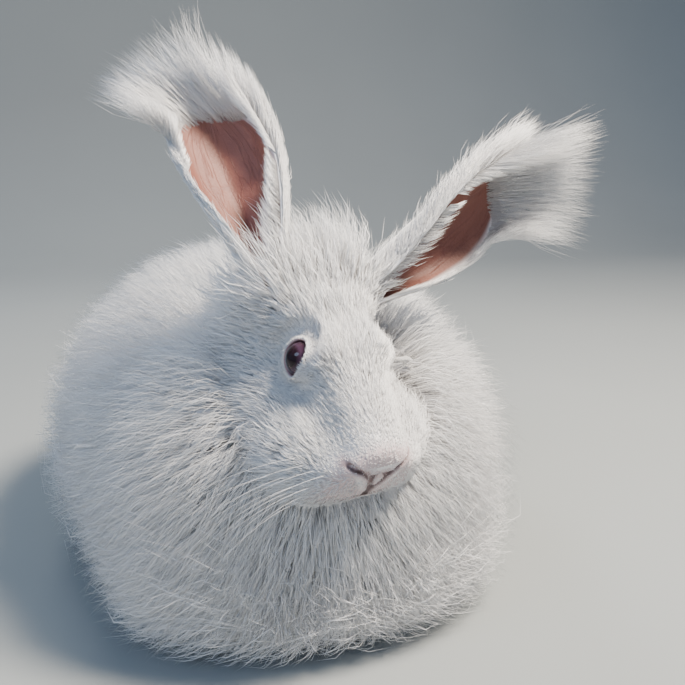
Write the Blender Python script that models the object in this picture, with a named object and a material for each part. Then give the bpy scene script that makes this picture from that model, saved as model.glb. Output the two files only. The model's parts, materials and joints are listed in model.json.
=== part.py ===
"""An angora rabbit in full coat, life size, crouched on its belly with its head up and its ears spread.

Metres, +Z up, and the rabbit faces -Y. Its left side is +X. The origin is on the floor, under the belly.
Each part of the body is one closed solid: a smooth core with the wool standing on it as flat, tapered locks.
Where two parts meet, the one that grows from the other is cut back from it by a thin gap.
"""

import math
import random

import bmesh
import bpy
from mathutils import Vector
from mathutils.bvhtree import BVHTree

# What all the parts share
GAP = 0.00035  # kept between parts that touch
ROOM = 0.5  # half the side of the blocks that cut the parts level
DOWN = Vector((0.0, 0.0, -1.0))

# The head: the middle between its eyes, and how far it is turned to the rabbit's left
EYE_MIDDLE = Vector((0.0, -0.150, 0.170))
HEAD_TURN = math.radians(12)
HEAD_LENGTH = 0.108
NOSE_AHEAD = 0.041  # nose tip ahead of the eyes and below them
NOSE_BELOW = 0.045
CROWN_PITCH = math.radians(35)  # slope of the line from the nose tip up to the back of the skull
HEAD_SQUARE = 0.80  # 1 makes its sections round, less makes them fuller
HEAD_COAT = 0.002  # the short fur of the face, which the solid takes in

# Sections along that line: place as a share of the head's length, height above the line and depth below it,
# half width, and how much narrower it is above than below
HEAD_SECTIONS = (
    (0.000, 0.0010, 0.0040, 0.0030, 0.00),
    (0.012, 0.0050, 0.0150, 0.0105, 0.06),
    (0.040, 0.0085, 0.0275, 0.0170, 0.20),
    (0.100, 0.0115, 0.0370, 0.0225, 0.30),
    (0.220, 0.0150, 0.0410, 0.0270, 0.38),
    (0.40, 0.0205, 0.0420, 0.0305, 0.38),
    (0.56, 0.0250, 0.0440, 0.0325, 0.26),
    (0.76, 0.0300, 0.0430, 0.0340, 0.12),
    (0.92, 0.0280, 0.0320, 0.0300, 0.00),
    (1.02, 0.0160, 0.0160, 0.0180, 0.00),
    (1.05, 0.0030, 0.0030, 0.0040, 0.00),
)
# Swellings of the head: place, degrees round from the top, height, and their spread along and round it
HEAD_SWELLINGS = (
    (0.08, 112, 0.0050, 0.08, 34),  # whisker pads
    (0.02, 0, 0.0012, 0.04, 50),  # nose
    (0.15, 180, 0.0020, 0.06, 30),  # chin
    (0.34, 70, 0.0020, 0.08, 24),  # fur before the eye
    (0.51, 30, 0.0052, 0.10, 24),  # brow
    (0.56, 82, -0.0016, 0.10, 20),  # hollow under the eye
    (0.22, 98, 0.0105, 0.12, 34),  # fluff beside the muzzle
    (0.69, 62, -0.0034, 0.07, 26),  # hollow behind the eye
    (0.54, 126, 0.0076, 0.17, 30),  # cheek
    (0.88, 42, 0.0045, 0.09, 22),  # foot of the ear
)

# The eyes, their lids, the nostrils and the mouth
EYE_RADIUS = 0.0098
EYE_APART = 0.0384  # between the middles of the two eyeballs
GAZE_OUT = math.radians(77)  # from straight ahead
GAZE_UP = math.radians(18)
LID_STANDS = 0.0008  # above the eyeball
LID_RADIUS = 0.0014
OPENING_LONG = math.radians(56)  # half of the lids' opening, seen from the eyeball's middle
OPENING_HIGH = math.radians(50)
OPENING_TILT = math.radians(24)  # its front corner lies lower
MOUTH_BELOW = 0.0230  # the line of the mouth under the head's line
MOUTH_END = 0.22  # place of the corner of the mouth
MOUTH_CUT = 0.0011
LIP_RADIUS = 0.0016
CLEFT_CUT = 0.0011  # the cleft from the nose down to the mouth
NOSTRIL_CUT = 0.0016
NOSTRIL_SINK = 0.0004  # how far the middle of a slit lies inside the face
# Places and degrees round along a slit, from its outer end to the middle
NOSTRIL = (
    (0.062, 60),
    (0.042, 58),
    (0.022, 61),
    (0.006, 70),
    (0.000, 100),
    (0.001, 140),
    (0.007, 168),
    (0.012, 178),
)

# The ears, in the head's own directions: to its left, ahead and up
EAR_LENGTH = 0.112
EAR_THICK = 0.0032
EAR_ROOT = (0.0215, -0.029, 0.026)
EAR_RUN = {-1: (-0.09, -0.60, 0.80), 1: (0.87, -0.07, 0.50)}
EAR_FACING = {-1: (-0.19, 1.0, 0.15), 1: (0.13, 0.95, -0.28)}
# Place along the ear, half of its curved width, and the radius that it is rolled to
EAR_SECTIONS = (
    (0.00, 0.0200, 0.0085),
    (0.15, 0.0260, 0.0115),
    (0.35, 0.0310, 0.0180),
    (0.60, 0.0330, 0.0260),
    (0.80, 0.0285, 0.0300),
    (0.93, 0.0190, 0.0310),
    (1.00, 0.0070, 0.0310),
)

# The locks of wool
ROOT_WIDTH = 0.62  # at the root, as a share of the widest place
WIDEST = 0.25  # where a lock is widest, as a share of its length
TIP_DEPTH = 0.30  # thickness near the tip as a share of that at the root
ROOT_SINK = 0.007
TIP_ROOM = 4.0  # a tapering tip needs this many gaps more in length to stay clear all round
FLOOR_ROOM = 0.0035  # the middle of a lock stays this far above the floor
ROOT_TRIES = 6000
HEADING = 0.6  # how much of its last way a lock keeps at each step
MOST_BEND = math.cos(math.radians(62))  # between two steps
OPEN_SIZE = 1.02  # a lock stays outside its own core, seen as the core's size
LIFTS = (1.0, 1.3, 0.75, 1.6, 0.5)  # the heights that a lock is tried at, until it is clear of the other parts

WHITE = (0.86, 0.86, 0.88)
EAR_PINK = (0.62, 0.36, 0.33)
EYE_RED = (0.10, 0.02, 0.04)


class Egg:
    """A smooth closed form with its long way along Y. square is 1 for round sections and less for fuller ones.

    square_below is the same for the part below the middle.
    """

    def __init__(self, centre, front, rear, half_width, up, down, square=1.0, square_below=None):
        self.centre = Vector(centre)
        self.front, self.rear = front, rear
        self.half_width, self.up, self.down = half_width, up, down
        self.square = square
        self.square_below = square_below or square

    def grown(self, more):
        """The same form, larger by more on every side."""
        return Egg(
            self.centre,
            self.front + more,
            self.rear + more,
            self.half_width + more,
            self.up + more,
            self.down + more,
            self.square,
            self.square_below,
        )

    def size(self, point):
        """1 on the surface, less inside and more outside."""
        x, y, z = point - self.centre
        power = 2 / (self.square if z > 0 else self.square_below)
        across = abs(x) / self.half_width
        height = abs(z) / (self.up if z > 0 else self.down)
        girth = (across**power + height**power) ** (1 / power)
        return math.hypot(girth, y / (self.rear if y > 0 else self.front))

    def point(self, along, around):
        """along runs from -1 at the front to 1 at the rear, around from 0 at the top to the left side and on."""
        girth = math.sqrt(max(0.0, 1 - along * along))
        square = self.square if math.cos(around) > 0 else self.square_below
        across = signed_power(math.sin(around), square)
        height = signed_power(math.cos(around), square)
        return self.centre + Vector(
            (
                across * girth * self.half_width,
                along * (self.rear if along > 0 else self.front),
                height * girth * (self.up if height > 0 else self.down),
            )
        )

    def normal(self, point):
        step = 0.0004
        slope = [
            self.size(point + axis * step) - self.size(point - axis * step)
            for axis in (Vector((1, 0, 0)), Vector((0, 1, 0)), Vector((0, 0, 1)))
        ]
        return Vector(slope).normalized()

    def onto(self, point):
        """The point moved along its line from the centre onto the surface."""
        return self.centre + (point - self.centre) / self.size(point)

    def mesh(self, name, rings=16, sides=24):
        rows = []
        for i in range(1, rings):
            along = -math.cos(math.pi * i / rings)
            rows.append([self.point(along, 2 * math.pi * j / sides) for j in range(sides)])
        return closed_rows(name, self.point(-1, 0), rows, self.point(1, 0))


def signed_power(value, power):
    return math.copysign(abs(value) ** power, value)


def rows_shape(first, rows, last):
    """Points and faces of a closed form from a first pole, rows of points round it, and a last pole."""
    sides = len(rows[0])
    points = [first] + [p for row in rows for p in row] + [last]
    end = len(points) - 1
    faces = []
    for j in range(sides):
        k = (j + 1) % sides
        faces.append((0, 1 + j, 1 + k))
        for i in range(len(rows) - 1):
            a, b = 1 + i * sides, 1 + (i + 1) * sides
            faces.append((a + j, b + j, b + k))
            faces.append((a + j, b + k, a + k))
        a = 1 + (len(rows) - 1) * sides
        faces.append((end, a + k, a + j))
    return points, faces


def closed_rows(name, first, rows, last):
    return solid(name, *rows_shape(first, rows, last))


def ring_rows(name, rows):
    """A closed ring-shaped mesh from rows of points, the last row joined to the first."""
    count, sides = len(rows), len(rows[0])
    points = [p for row in rows for p in row]
    faces = []
    for i in range(count):
        a, b = i * sides, (i + 1) % count * sides
        for j in range(sides):
            k = (j + 1) % sides
            faces.append((a + j, b + j, b + k))
            faces.append((a + j, b + k, a + k))
    return solid(name, points, faces)


def solid(name, points, faces):
    """An object from points and faces, with its faces pointing outwards."""
    mesh = bpy.data.meshes.new(name)
    mesh.from_pydata(points, [], faces)
    work = bmesh.new()
    work.from_mesh(mesh)
    bmesh.ops.recalc_face_normals(work, faces=work.faces)
    if work.calc_volume(signed=True) < 0:
        bmesh.ops.reverse_faces(work, faces=work.faces)
    work.to_mesh(mesh)
    work.free()
    made = bpy.data.objects.new(name, mesh)
    bpy.context.scene.collection.objects.link(made)
    return made


def round_tube(name, path, radius, sides=5):
    """A closed tube along a path, with pointed ends."""
    rows = []
    first = (path[1] - path[0]).orthogonal().normalized()
    for i in range(1, len(path) - 1):
        run = (path[i + 1] - path[i - 1]).normalized()
        first = (first - run * first.dot(run)).normalized()
        second = run.cross(first)
        row = []
        for j in range(sides):
            angle = 2 * math.pi * j / sides
            row.append(path[i] + (first * math.cos(angle) + second * math.sin(angle)) * radius)
        rows.append(row)
    return closed_rows(name, path[0], rows, path[-1])


def ball(name, centre, radius, rings=8, sides=12):
    return Egg(centre, radius, radius, radius, radius, radius).mesh(name, rings, sides)


def between(sections, place):
    """The values of sections at place, on a smooth curve through its rows."""
    rows = len(sections)
    i = max(k for k in range(rows - 1) if sections[k][0] <= place or k == 0)
    before, start, end, after = (
        sections[max(0, i - 1)],
        sections[i],
        sections[i + 1],
        sections[min(rows - 1, i + 2)],
    )
    span = end[0] - start[0]
    u = min(1.0, max(0.0, (place - start[0]) / span))
    found = []
    for n in range(1, len(start)):
        leave = (end[n] - before[n]) / (end[0] - before[0]) * span
        reach = (after[n] - start[n]) / (after[0] - start[0]) * span
        found.append(
            (2 * u**3 - 3 * u**2 + 1) * start[n]
            + (u**3 - 2 * u**2 + u) * leave
            + (-2 * u**3 + 3 * u**2) * end[n]
            + (u**3 - u**2) * reach
        )
    return found


class Lock:
    """A flat, tapered lock of wool, given by its ring centres from root to tip and the way up at each."""

    def __init__(self, centres, upward, width, depth, roll):
        self.centres, self.width, self.depth = centres, width, depth
        self.across, self.upward = [], []
        for i in range(len(centres) - 1):
            run = (centres[i + 1] - centres[max(i - 1, 0)]).normalized()
            level = upward[i].cross(run).normalized()
            rise = run.cross(level)
            self.across.append(level * math.cos(roll) + rise * math.sin(roll))
            self.upward.append(rise * math.cos(roll) - level * math.sin(roll))

    def shape(self, more=0.0):
        rows = []
        steps = len(self.centres) - 1
        for i, centre in enumerate(self.centres[:-1]):
            share = i / steps
            wider = ROOT_WIDTH + (1 - ROOT_WIDTH) * min(1.0, share / WIDEST)
            wide = self.across[i] * (self.width / 2 * wider * (1 - share**2.2) + more)
            thick = self.depth * (1 - (1 - TIP_DEPTH) * share)
            below = self.upward[i] * (thick * 0.4 + more)
            ridge = self.upward[i] * (thick * 0.6 + more)
            rows.append([centre + wide - below, centre + ridge, centre - wide - below])
        root, tip = self.centres[0], self.centres[-1]
        start = root - (self.centres[1] - root).normalized() * more
        end = tip + (tip - self.centres[-2]).normalized() * more * TIP_ROOM
        return rows_shape(start, rows, end)

    def folded(self):
        """Whether the lock turns too far between two of its steps to be a clean form."""
        runs = [(b - a).normalized() for a, b in zip(self.centres, self.centres[1:])]
        return any(a.dot(b) < MOST_BEND for a, b in zip(runs, runs[1:]))


def shapes_tree(shapes):
    """A search tree of some closed surfaces."""
    points, faces = [], []
    for shape_points, shape_faces in shapes:
        start = len(points)
        points += shape_points
        faces += [[start + i for i in face] for face in shape_faces]
    return BVHTree.FromPolygons(points, faces)


def objects_tree(objects):
    """A search tree of some closed objects, which are then removed."""
    shapes = []
    for obj in objects:
        faces = [tuple(face.vertices) for face in obj.data.polygons]
        shapes.append(([v.co.copy() for v in obj.data.vertices], faces))
        bpy.data.objects.remove(obj)
    return shapes_tree(shapes)


class Others:
    """The cores of the other parts and the locks laid before, which a new lock is kept clear of."""

    def __init__(self, cores, locks):
        self.cores, self.locks = cores, locks

    def crossed_by(self, lock):
        """Whether the lock comes nearer than the gap to one of them, or lies inside a core."""
        own = BVHTree.FromPolygons(*lock.shape(GAP))
        if any(own.overlap(tree) for tree in self.cores + self.locks):
            return True
        for core in self.cores:
            for point in (lock.centres[1], lock.centres[-1]):
                place, outward, _, _ = core.find_nearest(point)
                if (point - place).dot(outward) < 0:
                    return True
        return False


def lay_lock(egg, root, chance, wool, lift):
    """A lock that rises from an egg's surface and follows it along the wool's flow."""
    length = wool.length * chance.uniform(0.85, 1.15)
    stand = wool.stand * lift * chance.uniform(0.80, 1.15)
    width = wool.width * chance.uniform(0.85, 1.15)
    swing = chance.uniform(-0.18, 0.18)
    curl = chance.uniform(-0.4, 0.4)
    place = egg.onto(root)
    centres, upward = [], []
    way = Vector()
    for i in range(wool.steps + 1):
        share = i / wool.steps
        up = egg.normal(place)
        height = stand * share**0.85 if i else -ROOT_SINK
        centre = place + up * height
        centre.z = max(centre.z, FLOOR_ROOM * (1 + share))
        centres.append(centre)
        upward.append(up)
        way = wool.flow(place, up) + way * HEADING
        way += up.cross(way) * (swing + curl * share)
        way = (way - up * way.dot(up)).normalized()
        place = egg.onto(place + way * (length / wool.steps))
    return Lock(centres, upward, width, wool.depth, chance.uniform(-0.15, 0.15))


def free_lock(root, run, droop, up, chance, length, width, depth, steps=3):
    """A lock that leaves its root along run and bends towards droop."""
    length *= chance.uniform(0.85, 1.15)
    width *= chance.uniform(0.85, 1.15)
    run, up = run.normalized(), up.normalized()
    sideways = run.cross(up) * chance.uniform(-0.12, 0.12)
    centres = [root - run * ROOT_SINK]
    for i in range(1, steps + 1):
        share = i / steps
        bend = (sideways + droop) * share
        centres.append(root + (run + bend) * (length * share))
    return Lock(centres, [up] * (steps + 1), width, depth, chance.uniform(-0.2, 0.2))


class Wool:
    """How the locks of one core grow: their spacing, sizes and flow."""

    def __init__(self, seed, flow, spacing, length, stand, width, depth, keep, steps=4):
        self.seed, self.flow, self.spacing = seed, flow, spacing
        self.length, self.stand, self.width, self.depth = length, stand, width, depth
        self.keep, self.steps = keep, steps

    def locks(self, egg, others):
        """Locks spread evenly over the egg and clear of the others, with no two roots nearer than the spacing."""
        chance = random.Random(self.seed)
        roots, found = [], []
        for _ in range(ROOT_TRIES):
            way = Vector([chance.gauss(0, 1) for _ in range(3)])
            root = egg.onto(egg.centre + way)
            if root.z < 0 or not self.keep(root):
                continue
            if any((root - other).length < self.spacing for other in roots):
                continue
            for lift in LIFTS:
                lock = lay_lock(egg, root, chance, self, lift)
                hidden = any(egg.size(centre) < OPEN_SIZE for centre in lock.centres[1:])
                if not hidden and not lock.folded() and not others.crossed_by(lock):
                    roots.append(root)
                    found.append(lock)
                    break
        return found


# The body's cores, each about half way from the skin to the tips of the wool
TORSO = Egg((-0.002, 0.034, 0.072), 0.150, 0.168, 0.125, 0.110, 0.086, 0.88, 0.64)
NECK = Egg((-0.002, -0.094, 0.080), 0.052, 0.066, 0.104, 0.090, 0.088, 0.90, 0.72)
TAIL = Egg((0.0, 0.204, 0.062), 0.026, 0.018, 0.022, 0.028, 0.024)
TORSO_FRONT = -0.065  # the neck and the torso are about equally wide here, and meet


def haunch(side):
    return Egg((side * 0.090, 0.098, 0.058), 0.058, 0.062, 0.037, 0.058, 0.060)


def hind_foot(side):
    return Egg((side * 0.098, 0.052, 0.011), 0.066, 0.052, 0.017, 0.013, 0.016)


def forearm(side):
    return Egg((side * 0.030, -0.100, 0.026), 0.032, 0.033, 0.015, 0.020, 0.032)


def paw(side):
    return Egg((side * 0.030, -0.122, 0.010), 0.028, 0.030, 0.0140, 0.012, 0.016)


def torso_flow(place, up):
    """Backwards and down the sides, parted along the spine, and down over the rump."""
    parting = math.copysign(0.35, place.x) * max(0.0, up.z)
    rump = max(0.0, up.y)
    return Vector((parting, 0.9 - 0.6 * rump, -0.45 - 0.6 * rump))


def neck_flow(place, up):
    """Down and outwards over the chest, backwards on the sides."""
    chest = max(0.0, -up.y)
    outward = math.copysign(0.35, place.x - NECK.centre.x) * chest
    return Vector((outward, 0.75 - 0.75 * chest, -0.5 - 0.5 * chest))


def tail_flow(place, up):
    return Vector((0.0, 0.35, 0.9))


def leg_flow(place, up):
    return Vector((0.0, 0.8, -0.6))


def on_open_neck(root):
    return root.y < TORSO_FRONT - 0.008


def on_open_torso(root):
    return root.y > TORSO_FRONT + 0.006


def behind_rump(root):
    return root.y > 0.19


def outside_torso(root):
    return TORSO.size(root) > 1.02


# Seed, flow, spacing, length, stand, width, depth and where it grows
TORSO_WOOL = Wool(5, torso_flow, 0.0355, 0.090, 0.038, 0.043, 0.0080, on_open_torso)
NECK_WOOL = Wool(3, neck_flow, 0.0285, 0.068, 0.033, 0.037, 0.0075, on_open_neck)
TAIL_WOOL = Wool(14, tail_flow, 0.022, 0.042, 0.016, 0.024, 0.0060, behind_rump, 3)
LEG_WOOL = Wool(11, leg_flow, 0.038, 0.058, 0.026, 0.038, 0.0080, outside_torso, 3)


def head_direction(side, ahead, up):
    """A direction given in the head's own way: to the rabbit's left, ahead, and up."""
    turn, lean = math.sin(HEAD_TURN), math.cos(HEAD_TURN)
    return Vector((side * lean + ahead * turn, side * turn - ahead * lean, up))


def head_to_world(side, ahead, up):
    """A point given from the middle between the eyes."""
    return EYE_MIDDLE + head_direction(side, ahead, up)


def swelling(place, degrees):
    """How far the head's swellings lift its surface."""
    total = 0.0
    for middle, turn, height, spread, turn_spread in HEAD_SWELLINGS:
        apart = (abs(degrees) - turn) / turn_spread
        total += height * math.exp(-(((place - middle) / spread) ** 2) - apart**2)
    return total


def head_surface(place, degrees, more=0.0):
    """A point of the head's surface, more outside it. degrees run from 0 at the top to 180 on the left and -180."""
    above, below, half_width, narrower = between(HEAD_SECTIONS, place)
    angle = math.radians(degrees)
    across = signed_power(math.sin(angle), HEAD_SQUARE)
    height = signed_power(math.cos(angle), HEAD_SQUARE)
    lift = more + swelling(place, degrees)
    side = across * (half_width * (1 - narrower * height) + lift)
    rise = (above - below) / 2 + height * ((above + below) / 2 + lift)
    run = HEAD_LENGTH * place
    if place <= 0:
        run -= more
    if place >= HEAD_SECTIONS[-1][0]:
        run += more
    ahead = NOSE_AHEAD - run * math.cos(CROWN_PITCH) + rise * math.sin(CROWN_PITCH)
    up = -NOSE_BELOW + run * math.sin(CROWN_PITCH) + rise * math.cos(CROWN_PITCH)
    return head_to_world(side, ahead, up)


def head_normal(place, degrees):
    step, turn = 0.01, 2.0
    along = head_surface(place + step, degrees) - head_surface(place - step, degrees)
    around = head_surface(place, degrees + turn) - head_surface(place, degrees - turn)
    return around.cross(along).normalized()


def head_form(name, more=0.0, rings=20, sides=28):
    last = HEAD_SECTIONS[-1][0]
    rows = []
    for i in range(rings + 1):
        place = last * (1 - math.cos(math.pi * i / rings)) / 2
        turns = [360 * j / sides - 180 for j in range(sides)]
        rows.append([head_surface(place, turn, HEAD_COAT + more) for turn in turns])
    poles = [sum(row, Vector()) / sides for row in (rows[0], rows[-1])]
    return closed_rows(name, poles[0], rows, poles[1])


def eye_centre(side):
    return head_to_world(side * EYE_APART / 2, 0.0, 0.0)


def eye_axes(side):
    """The way the eye looks, towards the front corner of its lids, and across both."""
    level = math.cos(GAZE_UP)
    gaze = head_direction(
        side * math.sin(GAZE_OUT) * level, math.cos(GAZE_OUT) * level, math.sin(GAZE_UP)
    )
    ahead = head_direction(0, math.cos(OPENING_TILT), -math.sin(OPENING_TILT))
    corner = (ahead - gaze * ahead.dot(gaze)).normalized()
    return gaze, corner, gaze.cross(corner)


def lids(side, turns=14, sides=5):
    """The rim of the lids, one ring that lies on the eyeball."""
    centre = eye_centre(side)
    gaze, corner, across = eye_axes(side)
    rows = []
    for i in range(turns):
        turn = 2 * math.pi * i / turns
        tilt = math.hypot(OPENING_LONG * math.cos(turn), OPENING_HIGH * math.sin(turn))
        outward = corner * math.cos(turn) + across * math.sin(turn)
        spoke = gaze * math.cos(tilt) + outward * math.sin(tilt)
        inward = gaze * math.sin(tilt) - outward * math.cos(tilt)
        row = []
        for j in range(sides):
            angle = 2 * math.pi * j / sides
            reach = EYE_RADIUS + LID_STANDS + LID_RADIUS * math.cos(angle)
            row.append(centre + spoke * reach + inward * (LID_RADIUS * math.sin(angle)))
        rows.append(row)
    return ring_rows("lids", rows)


def mouth_angle(place, below):
    """Degrees round the head at which its surface is this far below the head's line."""
    above, depth, _, _ = between(HEAD_SECTIONS, place)
    height = (-below - (above - depth) / 2) / ((above + depth) / 2 + HEAD_COAT)
    return math.degrees(math.acos(signed_power(max(-1.0, height), 1 / HEAD_SQUARE)))


def mouth_front(below):
    """The foremost place where the head reaches this far below its line."""
    return next(
        thousandth / 1000
        for thousandth in range(10, 200)
        if between(HEAD_SECTIONS, thousandth / 1000)[1] + HEAD_COAT > below
    )


def mouth_path(below, more=0.0, steps=7):
    """From one corner of the mouth round the front to the other."""
    front = mouth_front(below)
    places = [front + (MOUTH_END - front) * (i / steps) ** 1.5 for i in range(1, steps + 1)]
    left = [head_surface(p, mouth_angle(p, below), HEAD_COAT + more) for p in places]
    right = [head_surface(p, -mouth_angle(p, below), HEAD_COAT + more) for p in places]
    return right[::-1] + [head_surface(front, 180, HEAD_COAT + more)] + left


def face_cuts():
    """What is cut from the head: the sockets, the nostrils, the cleft and the line of the mouth."""
    cuts = []
    for side in (-1, 1):
        cuts.append(ball("socket", eye_centre(side), EYE_RADIUS + GAP))
        slit = [head_surface(place, side * turn, HEAD_COAT - NOSTRIL_SINK) for place, turn in NOSTRIL]
        cuts.append(round_tube("nostril", slit, NOSTRIL_CUT))
    places = [mouth_front(MOUTH_BELOW) * share for share in (0.15, 0.3, 0.5, 0.7, 0.9, 1.15)]
    cuts.append(round_tube("cleft", [head_surface(place, 180, HEAD_COAT) for place in places], CLEFT_CUT))
    cuts.append(round_tube("mouth", mouth_path(MOUTH_BELOW), MOUTH_CUT))
    return cuts


# Rows of the head's long wool: place, degrees round, length and width of its locks
CROWN_WOOL = (
    (0.72, (-26, 0, 26), 0.026, 0.020),
    (0.81, (-36, -12, 12, 36), 0.034, 0.021),
    (0.90, (-42, 0, 42), 0.044, 0.026),
    (0.99, (-75, -25, 25, 75), 0.044, 0.026),
)
CHEEK_WOOL = (
    (0.28, (100, 130), 0.022, 0.015),
    (0.42, (106, 136), 0.030, 0.018),
    (0.58, (94, 122, 150), 0.042, 0.021),
    (0.78, (84, 112, 140), 0.052, 0.024),
)
HEAD_LOCK_DEPTH = 0.0048


def head_locks():
    """The long wool of the head: the crown between the ears, and the cheeks."""
    chance = random.Random(7)
    depth = HEAD_LOCK_DEPTH
    found = []
    for place, turns, length, width in CROWN_WOOL:
        for turn in turns:
            up = head_normal(place, turn)
            run = up * 0.9 + head_direction(0, -0.55, 0.35)
            droop = head_direction(0, -0.25, -0.10)
            level = up.cross(run).cross(run)
            root = head_surface(place, turn)
            found.append(free_lock(root, run, droop, level, chance, length, width, depth))
    for place, turns, length, width in CHEEK_WOOL:
        for side in (-1, 1):
            for turn in turns:
                up = head_normal(place, side * turn)
                run = up * 0.75 + head_direction(side * 0.15, -0.75, -0.35)
                root = head_surface(place, side * turn)
                found.append(free_lock(root, run, DOWN * 0.30, up, chance, length, width, depth))
    return found


def ear_frame(side):
    """The ear's root, the way it runs, the way its opening faces, and across it."""
    out, ahead, up = EAR_ROOT
    root = head_to_world(side * out, ahead, up)
    run = head_direction(*EAR_RUN[side]).normalized()
    facing = head_direction(*EAR_FACING[side])
    facing = (facing - run * facing.dot(run)).normalized()
    return root, run, facing, run.cross(facing)


def ear_leaf_point(side, place, share, reach=0.0, wider=0.0):
    """A point of the ear's leather. share runs from -1 at one edge to 1 at the other, reach goes out of its back."""
    root, run, facing, across = ear_frame(side)
    half, radius = between(EAR_SECTIONS, place)
    angle = (half + wider) / radius * share
    outward = across * math.sin(angle) - facing * math.cos(angle)
    return root + run * (EAR_LENGTH * place) + facing * radius + outward * (radius + reach)


def ear_leaf(name, side, more=0.0, rings=9, sides=8):
    """The ear's leather: a rolled leaf, open along its facing side."""
    shares = [2 * j / sides - 1 for j in range(sides + 1)]
    run = ear_frame(side)[1]
    rows = []
    for i in range(rings + 1):
        place = i / rings
        shift = run * (more * (2 * place - 1))
        back = [ear_leaf_point(side, place, share, more, more) for share in shares]
        front = [ear_leaf_point(side, place, share, -EAR_THICK - more, more) for share in shares]
        rows.append([p + shift for p in back + front[::-1]])
    points = [p for row in rows for p in row]
    count = len(rows[0])
    faces = []
    for i in range(rings):
        a, b = i * count, (i + 1) * count
        for j in range(count):
            k = (j + 1) % count
            faces.append((a + j, b + j, b + k))
            faces.append((a + j, b + k, a + k))
    for end in (0, rings * count):
        for j in range(sides):
            k = count - 1 - j
            faces.append((end + j, end + j + 1, end + k - 1))
            faces.append((end + j, end + k - 1, end + k))
    return solid(name, points, faces)


# Locks of the ears: place along the leather, places across it, length, width and how far they fan out
EAR_END_WOOL = (
    (0.60, (-0.96, 0.96), 0.040, 0.017, 0.14),
    (0.77, (-0.95, 0.95), 0.048, 0.018, 0.26),
    (0.92, (-0.85, -0.3, 0.3, 0.85), 0.062, 0.019, 0.46),
)
EAR_END_LIFT = {-1: (-0.36, -0.10, 0.0), 1: (0.20, 0.08, -0.34)}
EAR_EDGE_WOOL = (
    (0.24, (-0.95, 0.95), 0.030, 0.015, 0.24),
    (0.42, (-0.97, 0.97), 0.032, 0.015, 0.12),
)
EAR_LOCK_DEPTH = 0.0030


def ear_locks(side):
    """The long hair at the ear's end and along its edges."""
    chance = random.Random(20 + side)
    run, facing, across = ear_frame(side)[1:]
    lift = head_direction(*EAR_END_LIFT[side])
    depth = EAR_LOCK_DEPTH
    found = []
    for place, shares, length, width, fan in EAR_END_WOOL:
        for share in shares:
            start = ear_leaf_point(side, place, share, -EAR_THICK / 2)
            way = run + across * (fan * share)
            found.append(free_lock(start, way, lift, facing, chance, length, width, depth))
    for place, shares, length, width, fan in EAR_EDGE_WOOL:
        for share in shares:
            start = ear_leaf_point(side, place, share, -EAR_THICK / 2)
            way = run * 0.8 + across * (fan * share) + facing * 0.25
            found.append(free_lock(start, way, facing * 0.1, facing, chance, length, width, depth))
    return found


def applied(obj):
    """Makes the object's modifiers part of its mesh."""
    bpy.context.view_layer.update()
    graph = bpy.context.evaluated_depsgraph_get()
    mesh = bpy.data.meshes.new_from_object(obj.evaluated_get(graph))
    obj.modifiers.clear()
    obj.data = mesh
    return obj


def combined(obj, others, operation):
    """One Boolean of obj with a collection of closed objects, which are then removed."""
    group = bpy.data.collections.new("pieces")
    for other in others:
        group.objects.link(other)
    step = obj.modifiers.new("join", "BOOLEAN")
    step.operand_type = "COLLECTION"
    step.collection = group
    step.operation = operation
    step.solver = "MANIFOLD"
    applied(obj)
    for other in others:
        bpy.data.objects.remove(other)
    bpy.data.collections.remove(group)
    return obj


def largest_shell(obj):
    """Keeps the largest closed surface of the object."""
    work = bmesh.new()
    work.from_mesh(obj.data)
    left = set(work.faces)
    shells = []
    while left:
        shell, reached = set(), [left.pop()]
        while reached:
            face = reached.pop()
            shell.add(face)
            for edge in face.edges:
                for other in edge.link_faces:
                    if other in left:
                        left.discard(other)
                        reached.append(other)
        shells.append(shell)
    shells.sort(key=lambda faces: sum(f.calc_area() for f in faces))
    drop = [f for shell in shells[:-1] for f in shell]
    bmesh.ops.delete(work, geom=drop, context="FACES")
    work.to_mesh(obj.data)
    work.free()
    return obj


def block(name, low, high):
    """A box between two corners."""
    square = ((low[0], low[1]), (high[0], low[1]), (high[0], high[1]), (low[0], high[1]))
    corners = [Vector((x, y, z)) for z in (low[2], high[2]) for x, y in square]
    walls = [(j, (j + 1) % 4, (j + 1) % 4 + 4, j + 4) for j in range(4)]
    return solid(name, corners, [(0, 1, 2, 3), (4, 5, 6, 7)] + walls)


def ground():
    """A block under the floor, which cuts the flats that the rabbit rests on."""
    return block("ground", (-ROOM, -ROOM, -ROOM), (ROOM, ROOM, 0.0))


def neck_core(more=0.0):
    """The neck's core, cut off level where the torso starts."""
    core = NECK.grown(more).mesh("neck_core", 14, 22)
    behind = block("behind", (-ROOM, TORSO_FRONT - GAP / 2 + more, -ROOM), (ROOM, ROOM, ROOM))
    return combined(core, [behind], "DIFFERENCE")


def torso_core():
    """The torso's core, cut off level where the neck ends."""
    core = TORSO.mesh("torso_core", 18, 26)
    before = block("before", (-ROOM, -ROOM, -ROOM), (ROOM, TORSO_FRONT + GAP / 2, ROOM))
    return combined(core, [before], "DIFFERENCE")


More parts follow.
